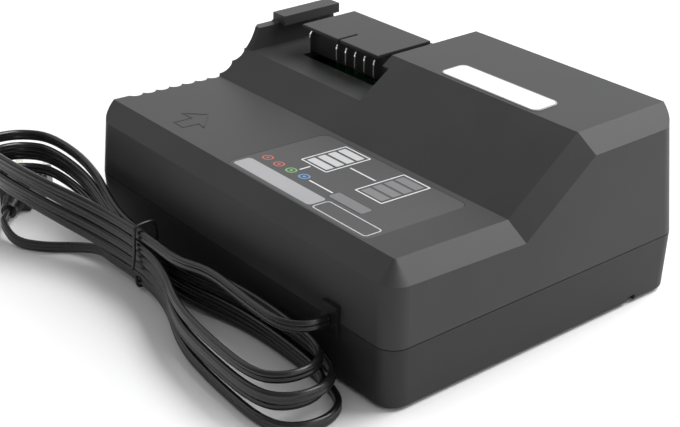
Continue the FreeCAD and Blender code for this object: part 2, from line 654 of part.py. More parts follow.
screw_wells = [
    rod(f"screw_well_{number}", f"{sx} * {POST_X}", f"{sy} * {POST_Y}", "base_gap - 1",
        "screw_head_radius + fit_gap", "screw_sink + 1")
    for number, (sx, sy) in enumerate([(-1, -1), (1, -1), (1, 1), (-1, 1)])
]
foot_wells = [
    rod(f"foot_well_{number}", f"{sx} * {FOOT_X}", f"{sy} * {FOOT_Y}", "base_gap - 1",
        "foot_radius + fit_gap", "foot_sink + 1")
    for number, (sx, sy) in enumerate([(-1, -1), (1, -1), (1, 1), (-1, 1)])
]
board_pilots = [
    rod(f"board_pilot_{number}", f"{sx} * {SCREW_X}", f"{sy} * {SCREW_Y}",
        f"{BOARD_TOP} - board_screw_length - 1", "board_screw_radius + fit_gap / 2",
        "board_screw_length + 2")
    for number, (sx, sy) in enumerate([(-1, -1), (1, -1), (1, 1), (-1, 1)])
]
vents = [
    centred_box(f"vent_{number}", f"({number} - (vent_count - 1) / 2) * vent_pitch", "0", "0",
                "vent_width", "vent_length", "wall * 2")
    for number in range(int(worth("vent_count")))
]
notch = centred_box("side_notch", "shell_length / 2 - seam_height * tan(lower_draft)",
                    f"({FRONT} + notch_depth_place)", "0",
                    "2 * notch_sink", "notch_width", "base_gap + notch_height")
tray_cuts = join("tray_cuts", screw_wells + foot_wells + board_pilots + vents
                 + [notch, pilot_holes, grommet_gate])
lower_shell = node(cut("lower_shell_solid", tray_whole, tray_cuts), "lower_shell")

# fasteners and feet
screws = []
for number, (sx, sy) in enumerate([(-1, -1), (1, -1), (1, 1), (-1, 1)]):
    head = rod(f"screw_head_{number}", f"{sx} * {POST_X}", f"{sy} * {POST_Y}",
               "base_gap + screw_sink - screw_head_height", "screw_head_radius", "screw_head_height")
    shank = rod(f"screw_shank_{number}", f"{sx} * {POST_X}", f"{sy} * {POST_Y}",
                "base_gap + screw_sink - 1", "screw_radius", "screw_length + 1")
    screws.append(join(f"case_screw_{number}", [head, shank]))
node(group("case_screw_group", screws), "case_screws")
feet = [
    rod(f"foot_{number}", f"{sx} * {FOOT_X}", f"{sy} * {FOOT_Y}", "0", "foot_radius",
        "base_gap + foot_sink")
    for number, (sx, sy) in enumerate([(-1, -1), (1, -1), (1, 1), (-1, 1)])
]
node(group("foot_group", feet), "rubber_feet")

# terminal block: a hood over six blades, held under the dock floor by its flange
hood_plate = centred_box("hood_plate_box", HOOD_MIDDLE, HOOD_MIDDLE_Y, "hood_top_height - hood_plate",
                         "hood_length", "hood_run", "hood_plate")
FLANGE_TOP = "(dock_floor_height - wall - seat_gap)"
hood_root = centred_box("hood_root", HOOD_MIDDLE, HOOD_MIDDLE_Y, FLANGE_TOP,
                        "hood_length", "hood_run", "wall + seat_gap")
hood_body = box("hood_body", HOOD_LEFT, f"{HOOD_FRONT} + hood_recess", FLANGE_TOP, "hood_length",
                "hood_run - hood_recess", f"hood_top_height - {FLANGE_TOP} - 1")
hood_flange = centred_box("hood_flange_box", HOOD_MIDDLE, HOOD_MIDDLE_Y, f"{FLANGE_TOP} - hood_flange",
                          "hood_length + 6", "hood_run + 4", "hood_flange")
hood_slot = centred_box("hood_slot", f"({HOOD_LEFT} + hood_slot_inset)", HOOD_FRONT, "hood_top_height - hood_plate - 1",
                        "hood_slot_width", "hood_slot_run * 2", "hood_plate + 2")
blade_places = [f"({HOOD_RIGHT} - blade_right_inset - {number} * blade_pitch)" for number in range(int(worth("blade_count")))]
blade_places.append(f"({HOOD_LEFT} + blade_left_inset)")
BLADE_FRONT = f"({HOOD_FRONT} + hood_recess - blade_reach)"
BOARD_SEAT = f"(dock_floor_height - wall - terminal_board_drop)"
blade_slots = []
blades = []
for number, place in enumerate(blade_places):
    blade_slots.append(box(f"blade_slot_{number}", f"{place} - blade_thickness / 2 - fit_gap",
                           f"{BLADE_FRONT} - fit_gap", f"{FLANGE_TOP} - hood_flange - 1",
                           "blade_thickness + 2 * fit_gap", "blade_run + 2 * fit_gap",
                           f"blade_top_height - {FLANGE_TOP} + hood_flange + 1 + fit_gap"))
    blade = new_body(f"blade_{number}")
    side = sketch_on(blade, f"blade_side_{number}", "YZ_Plane", f"{place} - blade_thickness / 2")
    outline(side, [
        (BLADE_FRONT, BOARD_SEAT),
        (f"{BLADE_FRONT} + blade_run", BOARD_SEAT),
        (f"{BLADE_FRONT} + blade_run", "blade_top_height"),
        (f"{BLADE_FRONT} + blade_round", "blade_top_height"),
        (f"{BLADE_FRONT} + blade_round / 3.4", "blade_top_height - blade_round / 3.4"),
        (BLADE_FRONT, "blade_top_height - blade_round"),
    ])
    pad(blade, f"blade_pad_{number}", side, "blade_thickness")
    blades.append(blade)
hood_whole = join("hood_whole", [hood_plate, hood_root, hood_body, hood_flange])
node(cut("terminal_block_solid", hood_whole, join("hood_cuts", blade_slots + [hood_slot])),
     "terminal_block")
node(group("blade_group", blades), "terminal_blades")
terminal_board = centred_box("terminal_board_box", HOOD_MIDDLE, HOOD_MIDDLE_Y,
                             f"{BOARD_SEAT} - board_thickness", "hood_length + 6", "hood_run + 4",
                             "board_thickness")
node(terminal_board, "terminal_board")

# main circuit board on its bosses
board_plate = centred_box("board_plate", "0", "0", BOARD_UNDER, BOARD_LENGTH, BOARD_WIDTH,
                          "board_thickness")
node(cut("board_solid", board_plate, join("board_holes", board_pilots)), "circuit_board")
board_screws = []
for number, (sx, sy) in enumerate([(-1, -1), (1, -1), (1, 1), (-1, 1)]):
    head = rod(f"board_screw_head_{number}", f"{sx} * {SCREW_X}", f"{sy} * {SCREW_Y}",
               BOARD_TOP, "board_screw_radius * 2", "board_screw_radius * 1.4")
    shank = rod(f"board_screw_shank_{number}", f"{sx} * {SCREW_X}", f"{sy} * {SCREW_Y}",
                f"{BOARD_TOP} - board_screw_length + 1", "board_screw_radius", "board_screw_length")
    board_screws.append(join(f"board_screw_{number}", [head, shank]))
node(group("board_screw_group", board_screws), "board_screws")

# transformer: pin base, ferrite core with two windows, and the winding round its middle leg
node(centred_box("bobbin_base", "core_x", "core_y", BOARD_TOP, "core_length - 2",
                 "core_width + 2 * winding_swell", "bobbin_height"), "transformer_base")
CORE_LOW = f"({BOARD_TOP} + bobbin_height)"
core_block = centred_box("core_block", "core_x", "core_y", CORE_LOW, "core_length", "core_width",
                         "core_height")
windows = [
    centred_box(f"core_window_{number}", f"(core_x + {side} * (core_leg + core_window) / 2)", "core_y",
                f"{CORE_LOW} + core_yoke", "core_window", "core_width * 2",
                "core_height - 2 * core_yoke")
    for number, side in enumerate((-1, 1))
]
node(cut("core_solid", core_block, join("core_windows", windows)), "transformer_core")
WINDING_LENGTH = "(core_leg + 2 * core_window - 2 * fit_gap)"
WINDING_WIDTH = "(core_width + 2 * winding_swell)"
winding_block = plan_block("winding_block", f"core_x - {WINDING_LENGTH} / 2", f"core_x + {WINDING_LENGTH} / 2",
                           f"core_y - {WINDING_WIDTH} / 2", f"core_y + {WINDING_WIDTH} / 2",
                           f"{CORE_LOW} + core_yoke + fit_gap",
                           "core_height - 2 * core_yoke - 2 * fit_gap", "4")
middle_leg = centred_box("middle_leg", "core_x", "core_y", CORE_LOW, "core_leg + 2 * fit_gap",
                         "core_width + 2 * fit_gap", "core_height")
node(cut("winding_solid", winding_block, middle_leg), "transformer_winding")

# capacitors
node(rod("bulk_can", "bulk_x", "bulk_y", BOARD_TOP, "bulk_radius", "bulk_height"), "bulk_capacitor")
cans = [
    rod(f"small_can_{number}", "small_can_x", f"small_can_y + {number} * small_can_pitch", BOARD_TOP,
        "small_can_radius", "small_can_height")
    for number in range(2)
]
node(group("small_cans", cans), "output_capacitors")
node(centred_box("film_block", "film_x", "film_y", BOARD_TOP, "film_length", "film_width",
                 "film_height"), "film_capacitor")

# heat sink with fins and the power devices on its face
SINK_Y = f"({HOOD_FRONT} + sink_gap)"
sink_plate = box("sink_plate_box", "sink_x - sink_length / 2", SINK_Y, BOARD_TOP, "sink_length",
                 "sink_plate", "sink_height")
FIN_STEP = "((sink_length - sink_fin) / (sink_fin_count - 1))"
fins = [
    box(f"sink_fin_{number}", f"sink_x - sink_length / 2 + {number} * {FIN_STEP}",
        f"{SINK_Y} + sink_plate / 2", BOARD_TOP, "sink_fin", "sink_plate / 2 + sink_fin_run",
        "sink_height")
    for number in range(int(worth("sink_fin_count")))
]
node(join("sink_solid", [sink_plate] + fins), "heat_sink")
devices = [
    centred_box(f"device_{number}", f"(sink_x + {side} * device_spacing / 2)",
                f"({SINK_Y} - device_thickness / 2)", BOARD_TOP, "device_width", "device_thickness",
                "device_height")
    for number, side in enumerate((-1, 1))
]
node(group("device_group", devices), "power_devices")

FUSE_Y = f"(fuse_inset - {BOARD_WIDTH} / 2)"

# mains entry: fuse in its clips, line choke and control chip
FUSE_HEIGHT = f"({BOARD_TOP} + fuse_radius + 1.2)"
fuse_tube = rod("fuse_tube", "fuse_x - fuse_length / 2", FUSE_Y, FUSE_HEIGHT, "fuse_radius",
                "fuse_length", FreeCAD.Vector(1, 0, 0))
node(fuse_tube, "fuse")
clips = []
for number, side in enumerate((-1, 1)):
    place = f"(fuse_x + {side} * (fuse_length - fuse_clip) / 2)"
    clips.append(cut(f"fuse_clip_{number}",
                     centred_box(f"clip_block_{number}", place, FUSE_Y, BOARD_TOP, "fuse_clip",
                                 "2 * fuse_radius + 2", f"{FUSE_HEIGHT} - {BOARD_TOP} + 1"),
                     rod(f"clip_bore_{number}", f"{place} - fuse_clip", FUSE_Y, FUSE_HEIGHT,
                         "fuse_radius + fit_gap / 2", "2 * fuse_clip", FreeCAD.Vector(1, 0, 0))))
node(group("clip_group", clips), "fuse_clips")
choke = doc.addObject("Part::Torus", "choke_ring_solid")
bind(choke, Radius1="choke_ring", Radius2="choke_wire", Placement__Base__x="choke_x",
     Placement__Base__y="choke_y", Placement__Base__z=f"{BOARD_TOP} + choke_wire + 0.1")
node(choke, "line_choke")
node(centred_box("chip_block", "chip_x", "chip_y", BOARD_TOP, "chip_length", "chip_width",
                 "chip_height"), "control_chip")

# deck fittings: panel label in its recess, lens, indicator board and lights, and the badge
label = tilted(on_deck("label_plate", LABEL_LEFT, "label_front_depth", "label_sink", "label_length",
                       "label_run", "label_thickness", "label_corner"))
label_hole = tilted(on_deck("label_hole", f"{WINDOW_X} - window_length / 2 - fit_gap",
                            f"{WINDOW_FRONT} - fit_gap", "1", "window_length + 2 * fit_gap",
                            "window_width + 2 * fit_gap", "2", "1"))
for seat in (label_seat, window_hole):
    tilted(seat)
node(cut("panel_label_solid", label, label_hole), "panel_label")
lens_top = tilted(on_deck("lens_top", f"{WINDOW_X} - window_length / 2", WINDOW_FRONT,
                          "wall + seat_gap + 0.5", "window_length", "window_width",
                          "wall + seat_gap + 0.5 - label_sink + label_thickness", "0.8"))
lens_flange = tilted(on_deck("lens_flange_plate", f"{WINDOW_X} - window_length / 2 - lens_flange",
                             f"{WINDOW_FRONT} - lens_flange", "wall + seat_gap + 1.2",
                             "window_length + 2 * lens_flange", "window_width + 2 * lens_flange",
                             "1.2", "1"))
node(join("lens_solid", [lens_top, lens_flange]), "indicator_lens")
LIGHT_BOARD = f"(wall + light_board_drop)"
light_board = tilted(on_deck("light_board_plate", f"{WINDOW_X} - light_board_length / 2",
                             "window_depth - light_board_width / 2", f"{LIGHT_BOARD} + board_thickness",
                             "light_board_length", "light_board_width", "board_thickness", "1"))
node(light_board, "indicator_board")
lights = [
    tilted(on_deck(f"light_{number}", f"{WINDOW_X} + {offset} * light_size - light_size / 2",
                   "window_depth - light_size / 2", f"{LIGHT_BOARD} - seat_gap / 2", "light_size", "light_size",
                   "light_height", "0.3"))
    for number, offset in enumerate((-1.6, 0, 1.6))
]
node(group("light_group", lights), "indicator_lights")
badge = plan_block("badge_plate", "shell_length / 2 - badge_inset - badge_length",
                   "shell_length / 2 - badge_inset",
                   f"{FRONT} + badge_front_depth", f"{FRONT} + badge_front_depth + badge_width",
                   "block_height", "label_thickness", "badge_corner")
node(badge, "badge_label")

# internal wiring: two heavy leads to the terminal board, and the indicator board's ribbon
battery_leads = [
    rod(f"battery_lead_{number}", f"({HOOD_MIDDLE} + {side} * battery_lead_spacing / 2)", HOOD_FRONT,
        BOARD_TOP, "lead_radius", f"{BOARD_SEAT} - board_thickness - {BOARD_TOP}")
    for number, side in enumerate((-1, 1))
]
node(group("battery_lead_group", battery_leads), "battery_leads")
LIGHT_BOARD_UNDER = f"(deck_front_height - window_depth * {DECK_SLOPE} - {LIGHT_BOARD} - board_thickness)"
node(centred_box("ribbon", f"({WINDOW_X} - light_board_length / 2 + ribbon_inset)", f"({FRONT} + window_depth)",
                 BOARD_TOP, "ribbon_width", "ribbon_thickness", f"{LIGHT_BOARD_UNDER} - {BOARD_TOP} - seat_gap"),
     "indicator_ribbon")


# cord pieces
def arc_corner(before, corner, after, share=0.45):
    """Tangent points, middle point and radius of the arc that rounds a corner of a route."""
    back = before - corner
    ahead = after - corner
    turn = math.pi - back.getAngle(ahead)
    reach = share * min(back.Length, ahead.Length)
    radius = reach / math.tan(turn / 2)
    first = corner + back.normalize() * reach
    last = corner + ahead.normalize() * reach
    inward = ((first + last) * 0.5 - corner).normalize()
    middle = corner + inward * (radius / math.cos(turn / 2) - radius)
    return first, middle, last, radius


def straight_and_arc_wire(name, points):
    """Straight runs joined by tangent arcs. Prints the tightest radius and gives the wire."""
    edges = []
    radii = []
    here = points[0]
    for before, corner, after in zip(points, points[1:], points[2:]):
        first, middle, last, radius = arc_corner(before, corner, after)
        edges.append(Part.LineSegment(here, first).toShape())
        edges.append(Part.Arc(first, middle, last).toShape())
        radii.append(radius)
        here = last
    edges.append(Part.LineSegment(here, points[-1]).toShape())
    print(name, "radii", [round(radius, 1) for radius in radii])
    return Part.Wire(edges)


def tube(name, wire, diameter):
    """A round tube along a wire, its volume compared with its section times its length."""
    start = wire.OrderedEdges[0]
    heading = start.tangentAt(start.FirstParameter)
    section = Part.Wire(Part.Circle(wire.OrderedVertexes[0].Point, heading, diameter / 2).toShape())
    solid = wire.makePipeShell([section], True, False)
    wanted = math.pi * diameter ** 2 / 4 * wire.Length
    print(name, "length", round(wire.Length, 1), "volume share", round(solid.Volume / wanted, 4))
    feature = doc.addObject("Part::Feature", name)
    feature.Shape = solid
    return feature


# grommet in the front wall, with a tapered tail that grips the cord inside
GRIP = f"({FRONT} + {TONGUE} + lip_wall + 2 * fit_gap)"
grommet_neck = centred_box("grommet_neck", EXIT_X, f"({FRONT} + wall / 2)",
                           "exit_height - grommet_height / 2", "grommet_width", "wall + 1.4",
                           "grommet_height")
grommet_outer = box("grommet_outer", f"{EXIT_X} - grommet_width / 2 - grommet_rim",
                    f"{FRONT} - fit_gap - grommet_flange",
                    "exit_height - grommet_height / 2 - grommet_rim",
                    "grommet_width + 2 * grommet_rim", "grommet_flange",
                    "grommet_height + 2 * grommet_rim")
grommet_inner = box("grommet_inner", f"{EXIT_X} - grommet_width / 2 - grommet_rim",
                    GRIP,
                    "exit_height - grommet_height / 2 - grommet_rim",
                    "grommet_width + 2 * grommet_rim", "grommet_flange",
                    "grommet_height + 2 * grommet_rim")
grommet_bridge = centred_box("grommet_bridge", EXIT_X, f"({FRONT} + wall + 1)",
                             "exit_height - grommet_height / 2", "grommet_width", "wall + 3",
                             "grommet_height")
grommet_cone = doc.addObject("Part::Cone", "grommet_cone")
grommet_cone.Placement = FreeCAD.Placement(
    FreeCAD.Vector(), FreeCAD.Rotation(FreeCAD.Vector(0, 0, 1), FreeCAD.Vector(0, 1, 0)))
bind(grommet_cone, Radius1="grommet_height / 2", Radius2="cord_diameter / 2 + 0.6",
     Height="grommet_tail", Placement__Base__x=EXIT_X,
     Placement__Base__y=GRIP, Placement__Base__z="exit_height")
node(join("strain_relief_solid", [grommet_neck, grommet_outer, grommet_inner, grommet_bridge,
                                  grommet_cone]), "strain_relief")
TAIL_END = worth(f"{GRIP} + grommet_tail")
exit_x, exit_z = worth(EXIT_X), worth("exit_height")
mains_leads = []
for number, side in enumerate((-1, 1)):
    x = exit_x + side * (worth("lead_radius") + 0.2)
    top_of_board = worth(BOARD_TOP)
    points = [
        FreeCAD.Vector(x, TAIL_END, exit_z),
        FreeCAD.Vector(x, TAIL_END + 15.5, exit_z),
        FreeCAD.Vector(x, TAIL_END + 15.5, top_of_board),
    ]
    lead_wire = straight_and_arc_wire(f"mains_lead_{number}", points)
    mains_leads.append(tube(f"mains_lead_{number}", lead_wire, 2 * worth("lead_radius")))
node(group("mains_lead_group", mains_leads), "mains_leads")


# hank: loops on both sides of the tie as one unbroken tube
def place(u, v, z):
    """A point of the hank: u along its axis to the right of the tie, v towards the back."""
    turn = math.radians(worth("hank_angle"))
    return FreeCAD.Vector(
        worth("waist_x") + u * math.cos(turn) - v * math.sin(turn),
        worth("waist_y") + u * math.sin(turn) + v * math.cos(turn),
        z,
    )


def heading(u, v):
    turn = math.radians(worth("hank_angle"))
    return FreeCAD.Vector(u * math.cos(turn) - v * math.sin(turn), u * math.sin(turn) + v * math.cos(turn), 0)


def biarc(start, start_way, end, end_way):
    """Two tangent arcs that join two points with the headings given."""
    chord = end - start
    ways = start_way + end_way
    spread = 2 * (1 - start_way.dot(end_way))
    along = chord.dot(ways)
    if abs(spread) < 1e-9:
        reach = chord.Length ** 2 / (4 * chord.dot(end_way))
    else:
        reach = (-along + math.sqrt(along ** 2 + spread * chord.Length ** 2)) / spread
    joint = (start + end + (start_way - end_way) * reach) * 0.5
    return [arc_from(start, start_way, joint), arc_from(end, end_way * -1, joint)]


def arc_from(start, way, end):
    """An arc, or a line where it is straight, that leaves start along way and ends at end."""
    chord = end - start
    side = chord - way * chord.dot(way)
    if side.Length < 1e-6:
        return Part.LineSegment(start, end).toShape()
    half = chord.getAngle(way)
    inward = side.normalize()
    radius = chord.Length / (2 * math.sin(half))
    centre = start + inward * radius
    middle = centre + ((start + end) * 0.5 - centre).normalize() * radius
    return Part.Arc(start, middle, end).toShape()


def hank_keys():
    """Key points and headings of the hank, from the cord's end at the top to its lower end."""
    column = worth("hank_column") / 2
    ground = worth("cord_diameter") / 2 + worth("hank_floor_gap")
    step = worth("hank_step")
    loops = int(worth("hank_loops"))
    left_half, right_half = worth("hank_left_half"), worth("hank_right_half")
    keys = [(place(14, -column, ground + worth("tie_room") + loops * step), heading(-1, 0))]
    for loop in range(loops):
        upper = ground + (loops - loop) * step
        lower = upper - step
        room, lift = worth("tie_room"), worth("hank_lift")
        left = -(worth("hank_left_reach") - loop * worth("hank_left_shrink"))
        right = worth("hank_right_reach") + loop * worth("hank_right_growth")
        keys.append((place(0, -column, upper + room), heading(-1, 0)))
        keys.append((place(0.8 * left, -left_half, upper + lift), heading(-1, 0)))
        keys.append((place(left, 0, (upper + lower) / 2 + lift), heading(0, 1)))
        keys.append((place(0.8 * left, left_half, lower + lift), heading(1, 0)))
        keys.append((place(0, column, lower + room), heading(1, 0)))
        keys.append((place(0.62 * right, right_half, lower), heading(1, 0)))
        keys.append((place(right, 0, lower), heading(0, -1)))
        keys.append((place(0.62 * right, -right_half, lower), heading(-1, 0)))
    keys.append((place(-14, -column, ground + worth("tie_room")), heading(-1, 0)))
    return keys


def least_gap(edges, diameter):
    """Least gap of the tube to itself, on points along its middle line."""
    points = []
    walked = 0.0
    for edge in edges:
        steps = max(2, int(edge.Length / 3))
        for step in range(steps):
            share = edge.FirstParameter + (edge.LastParameter - edge.FirstParameter) * step / steps
            points.append((walked + edge.Length * step / steps, edge.valueAt(share)))
        walked += edge.Length
    best = 1e9
    for index, (here, point) in enumerate(points):
        for there, other in points[index + 1:]:
            if there - here > 6 * diameter:
                best = min(best, point.distanceToPoint(other))
    return best - diameter


keys = hank_keys()
ordered = []
for (start, start_way), (end, end_way) in zip(keys, keys[1:]):
    ordered += biarc(start, start_way, end, end_way)
hank_wire = Part.Wire(Part.__sortEdges__(ordered))
cord_size = worth("cord_diameter")
tightest = min(edge.Curve.Radius for edge in ordered if edge.Curve.TypeId == "Part::GeomCircle")
print("hank tightest radius", round(tightest, 2))
print("hank least gap", round(least_gap(hank_wire.OrderedEdges, cord_size), 3))
hank = tube("hank_tube", hank_wire, cord_size)
node(hank, "cord_hank")

# free stretches: from the grommet to the hank, and from the hank to the plug
hank_start, hank_start_way = keys[0]
hank_end, hank_end_way = keys[-1]
exit_face = worth(f"{FRONT} - fit_gap - grommet_flange")
lead_points = [
    FreeCAD.Vector(exit_x, exit_face, exit_z),
    FreeCAD.Vector(exit_x, exit_face - 8.0, exit_z),
    FreeCAD.Vector(exit_x - 8.0, exit_face - 14.5, exit_z + 0.5),
    FreeCAD.Vector(exit_x - 25.0, exit_face - 15.5, exit_z + 0.3),
    FreeCAD.Vector(exit_x - 50.0, exit_face - 14.5, exit_z + 0.6),
    hank_start - hank_start_way * 22.0,
    hank_start,
]
lead_wire = straight_and_arc_wire("cord_lead", lead_points)
node(tube("lead_tube", lead_wire, cord_size), "cord_lead")
floor_line = cord_size / 2 + worth("hank_floor_gap")


def walk(start, legs):
    """Points of a route given as legs of length, compass heading in degrees and height."""
    points = [start]
    for length, way, height in legs:
        last = points[-1]
        turn = math.radians(way)
        points.append(FreeCAD.Vector(last.x + length * math.cos(turn), last.y + length * math.sin(turn), height))
    return points


tail_way = 180.0 + worth("hank_angle")
tail_points = walk(hank_end, [
    (9.0, tail_way, hank_end.z),
    (13.0, 205.0, floor_line),
    (13.0, 232.0, floor_line),
    (13.0, 212.0, floor_line),
    (12.0, 176.0, floor_line + 1.0),
    (11.0, worth("plug_angle"), worth("floor_gap") + worth("plug_height") / 2),
])
# the last run is level with the plug's neck
tail_points[-2].z = tail_points[-1].z
tail_wire = straight_and_arc_wire("cord_tail", tail_points)
node(tube("tail_tube", tail_wire, cord_size), "cord_tail")
print("cord length", round(lead_wire.Length + hank_wire.Length + tail_wire.Length, 1))

# twist tie round the bundle
tie_half = worth("hank_column") / 2 + cord_size / 2 + worth("tie_gap") + worth("tie_wire") / 2
tie_low = worth("hank_floor_gap") + worth("tie_room") - worth("tie_gap") - worth("tie_wire") / 2
tie_high = floor_line + worth("tie_room") + worth("hank_loops") * worth("hank_step") + cord_size / 2
tie_high += worth("tie_gap") + worth("tie_wire") / 2
tie_corner = cord_size / 2 + worth("tie_gap") + worth("tie_wire") / 2
slant = tie_corner * (1 - math.sqrt(0.5))
tie_edges = []
sides = [(tie_half, 1), (-tie_half, -1)]
tie_edges.append(Part.LineSegment(place(0, tie_half, tie_low + tie_corner), place(0, tie_half, tie_high - tie_corner)).toShape())
tie_edges.append(Part.Arc(place(0, tie_half, tie_high - tie_corner), place(0, tie_half - slant, tie_high - slant),
                          place(0, tie_half - tie_corner, tie_high)).toShape())
tie_edges.append(Part.LineSegment(place(0, tie_half - tie_corner, tie_high), place(0, tie_corner - tie_half, tie_high)).toShape())
tie_edges.append(Part.Arc(place(0, tie_corner - tie_half, tie_high), place(0, slant - tie_half, tie_high - slant),
                          place(0, -tie_half, tie_high - tie_corner)).toShape())
tie_edges.append(Part.LineSegment(place(0, -tie_half, tie_high - tie_corner), place(0, -tie_half, tie_low + tie_corner)).toShape())
tie_edges.append(Part.Arc(place(0, -tie_half, tie_low + tie_corner), place(0, slant - tie_half, tie_low + slant),
                          place(0, tie_corner - tie_half, tie_low)).toShape())
tie_edges.append(Part.LineSegment(place(0, tie_corner - tie_half, tie_low), place(0, tie_half - tie_corner, tie_low)).toShape())
tie_edges.append(Part.Arc(place(0, tie_half - tie_corner, tie_low), place(0, tie_half - slant, tie_low + slant),
                          place(0, tie_half, tie_low + tie_corner)).toShape())
node(tube("tie_tube", Part.Wire(tie_edges), worth("tie_wire")), "twist_tie")

# plug: moulded body with a ribbed neck, and its two blades, made along +X and then turned
plug_outline = new_body("plug_outline")
plug_plan = sketch_on(plug_outline, "plug_plan", "XY_Plane", "-plug_height / 2")
outline(plug_plan, [
    ("plug_neck", "-plug_width / 3.4"),
    ("plug_neck + plug_length * 0.42", "-plug_width / 2.6"),
    ("plug_neck + plug_length * 0.62", "-plug_width / 2"),
    ("plug_neck + plug_length", "-plug_width / 2"),
    ("plug_neck + plug_length", "plug_width / 2"),
    ("plug_neck + plug_length * 0.62", "plug_width / 2"),
    ("plug_neck + plug_length * 0.42", "plug_width / 2.6"),
    ("plug_neck", "plug_width / 3.4"),
])
plug_pad = pad(plug_outline, "plug_pad", plug_plan, "plug_height")
soften(plug_outline, "plug_rounds", "Fillet", plug_pad, lambda edge: rise(edge) < 1, "1.8")
neck = new_body("plug_neck_body")
neck_side = sketch_on(neck, "neck_side", "XZ_Plane")
neck_points = [("0", "0"), ("0", "cord_diameter / 2 + 1")]
ribs = 4
for rib in range(ribs):
    near, far = rib / ribs, (rib + 1) / ribs
    swell = f"cord_diameter / 2 + 1 + {round(1.6 * far, 2)}"
    neck_points.append((f"plug_neck * {round(near + 0.14, 3)}", swell))
    neck_points.append((f"plug_neck * {round(near + 0.18, 3)}", f"{swell} - 0.8"))
    neck_points.append((f"plug_neck * {round(far, 3)}", f"{swell} - 0.8"))
neck_points += [("plug_neck + 1", "cord_diameter / 2 + 1.8"), ("plug_neck + 1", "0")]
outline(neck_side, neck_points)
neck_turn = neck.newObject("PartDesign::Revolution", "neck_turn")
neck_turn.Profile = neck_side
neck_turn.ReferenceAxis = (neck_side, ["H_Axis"])
neck_turn.Angle = 360
plug_body = join("plug_solid", [plug_outline, neck])
prongs = [
    box(f"prong_{number}", "plug_neck + plug_length", f"{side} * prong_spacing / 2 - prong_thickness / 2",
        "-prong_width / 2", "prong_length", "prong_thickness", "prong_width")
    for number, side in enumerate((-1, 1))
]
plug_blades = group("prong_group", prongs)
plug_place = FreeCAD.Placement(tail_points[-1], FreeCAD.Rotation(FreeCAD.Vector(0, 0, 1), worth("plug_angle")))
for piece in (plug_body, plug_blades):
    piece.Placement = plug_place
node(plug_body, "plug_body")
node(plug_blades, "plug_blades")

# every object and every sub-part is sound before anything is written
doc.recompute()
faults = [f"{thing.Name}: {thing.State}" for thing in doc.Objects
          if "Invalid" in thing.State or "Error" in thing.State]
for piece in NODES:
    if piece.Shape.isNull() or not piece.Shape.isValid() or not piece.Shape.Solids:
        faults.append(f"{piece.Label}: shape")
if faults:
    raise ValueError("unsound objects: " + "; ".join(faults))
os.makedirs("parts", exist_ok=True)
for piece in NODES:
    piece.Shape.exportStep(f"parts/{piece.Label}.step")
    box_of = piece.Shape.BoundBox
    print(f"{piece.Label:22s} solids {len(piece.Shape.Solids)} volume {piece.Shape.Volume:10.1f} "
          f"x {box_of.XMin:.1f} {box_of.XMax:.1f} y {box_of.YMin:.1f} {box_of.YMax:.1f} "
          f"z {box_of.ZMin:.1f} {box_of.ZMax:.1f}")
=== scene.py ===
import math

import bpy
from mathutils import Matrix, Vector


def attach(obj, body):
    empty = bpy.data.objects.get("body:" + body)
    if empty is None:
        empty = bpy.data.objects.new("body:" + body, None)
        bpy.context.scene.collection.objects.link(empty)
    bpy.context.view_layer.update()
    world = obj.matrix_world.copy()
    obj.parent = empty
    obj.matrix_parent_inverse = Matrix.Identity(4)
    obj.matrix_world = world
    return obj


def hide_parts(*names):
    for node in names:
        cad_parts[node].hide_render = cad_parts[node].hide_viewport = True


# Power tool battery charger: materials, markings, cord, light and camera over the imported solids.
# The frame is the part's own: X along the front face, +Y to the back, Z up. The pieces are written
# in millimetres, and MM turns them into metres. Camera, lamps and floor are in metres.

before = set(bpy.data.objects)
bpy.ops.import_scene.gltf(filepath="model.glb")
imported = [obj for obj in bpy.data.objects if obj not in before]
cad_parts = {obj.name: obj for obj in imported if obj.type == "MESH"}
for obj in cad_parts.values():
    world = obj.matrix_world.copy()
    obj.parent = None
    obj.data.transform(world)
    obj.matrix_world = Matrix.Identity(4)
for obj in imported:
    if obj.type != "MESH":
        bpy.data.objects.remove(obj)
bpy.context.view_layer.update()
MM = 0.001

# sizes repeated from the part's source
SHELL_WIDTH = 146.0
FRONT_Y = -SHELL_WIDTH / 2
DECK_FRONT, DECK_FOOT, RAMP_FOOT_DEPTH = 54.7, 52.5, 61.0
DECK_SLOPE = (DECK_FRONT - DECK_FOOT) / RAMP_FOOT_DEPTH
BLOCK_TOP = 75.7
DOCK_FLOOR = 62.2
LABEL_RECESS, FILM_THICKNESS = 0.4, 0.35
CORD_WIDTH = 4.6
FIT_GAP, GROMMET_FLANGE = 0.2, 1.5
EXIT = (64.5, FRONT_Y - FIT_GAP - GROMMET_FLANGE, 25.5)
PACKED_WAIST_X, PACKED_WAIST_Y, PACKED_TURN = -42.0, -89.0, math.radians(-2.0)
COLUMN, TIE_ROOM, GROUND = 5.1 / 2, 2.2, CORD_WIDTH / 2 + 0.1
LOOPS = 4

# camera at the photograph's angle
LENS, SENSOR_WIDTH = 75.34, 36.0
AZIMUTH, ELEVATION, DISTANCE = math.radians(51.309), math.radians(26.506), 0.568
AIM = Vector((-0.0018, -0.0166, 0.0221))


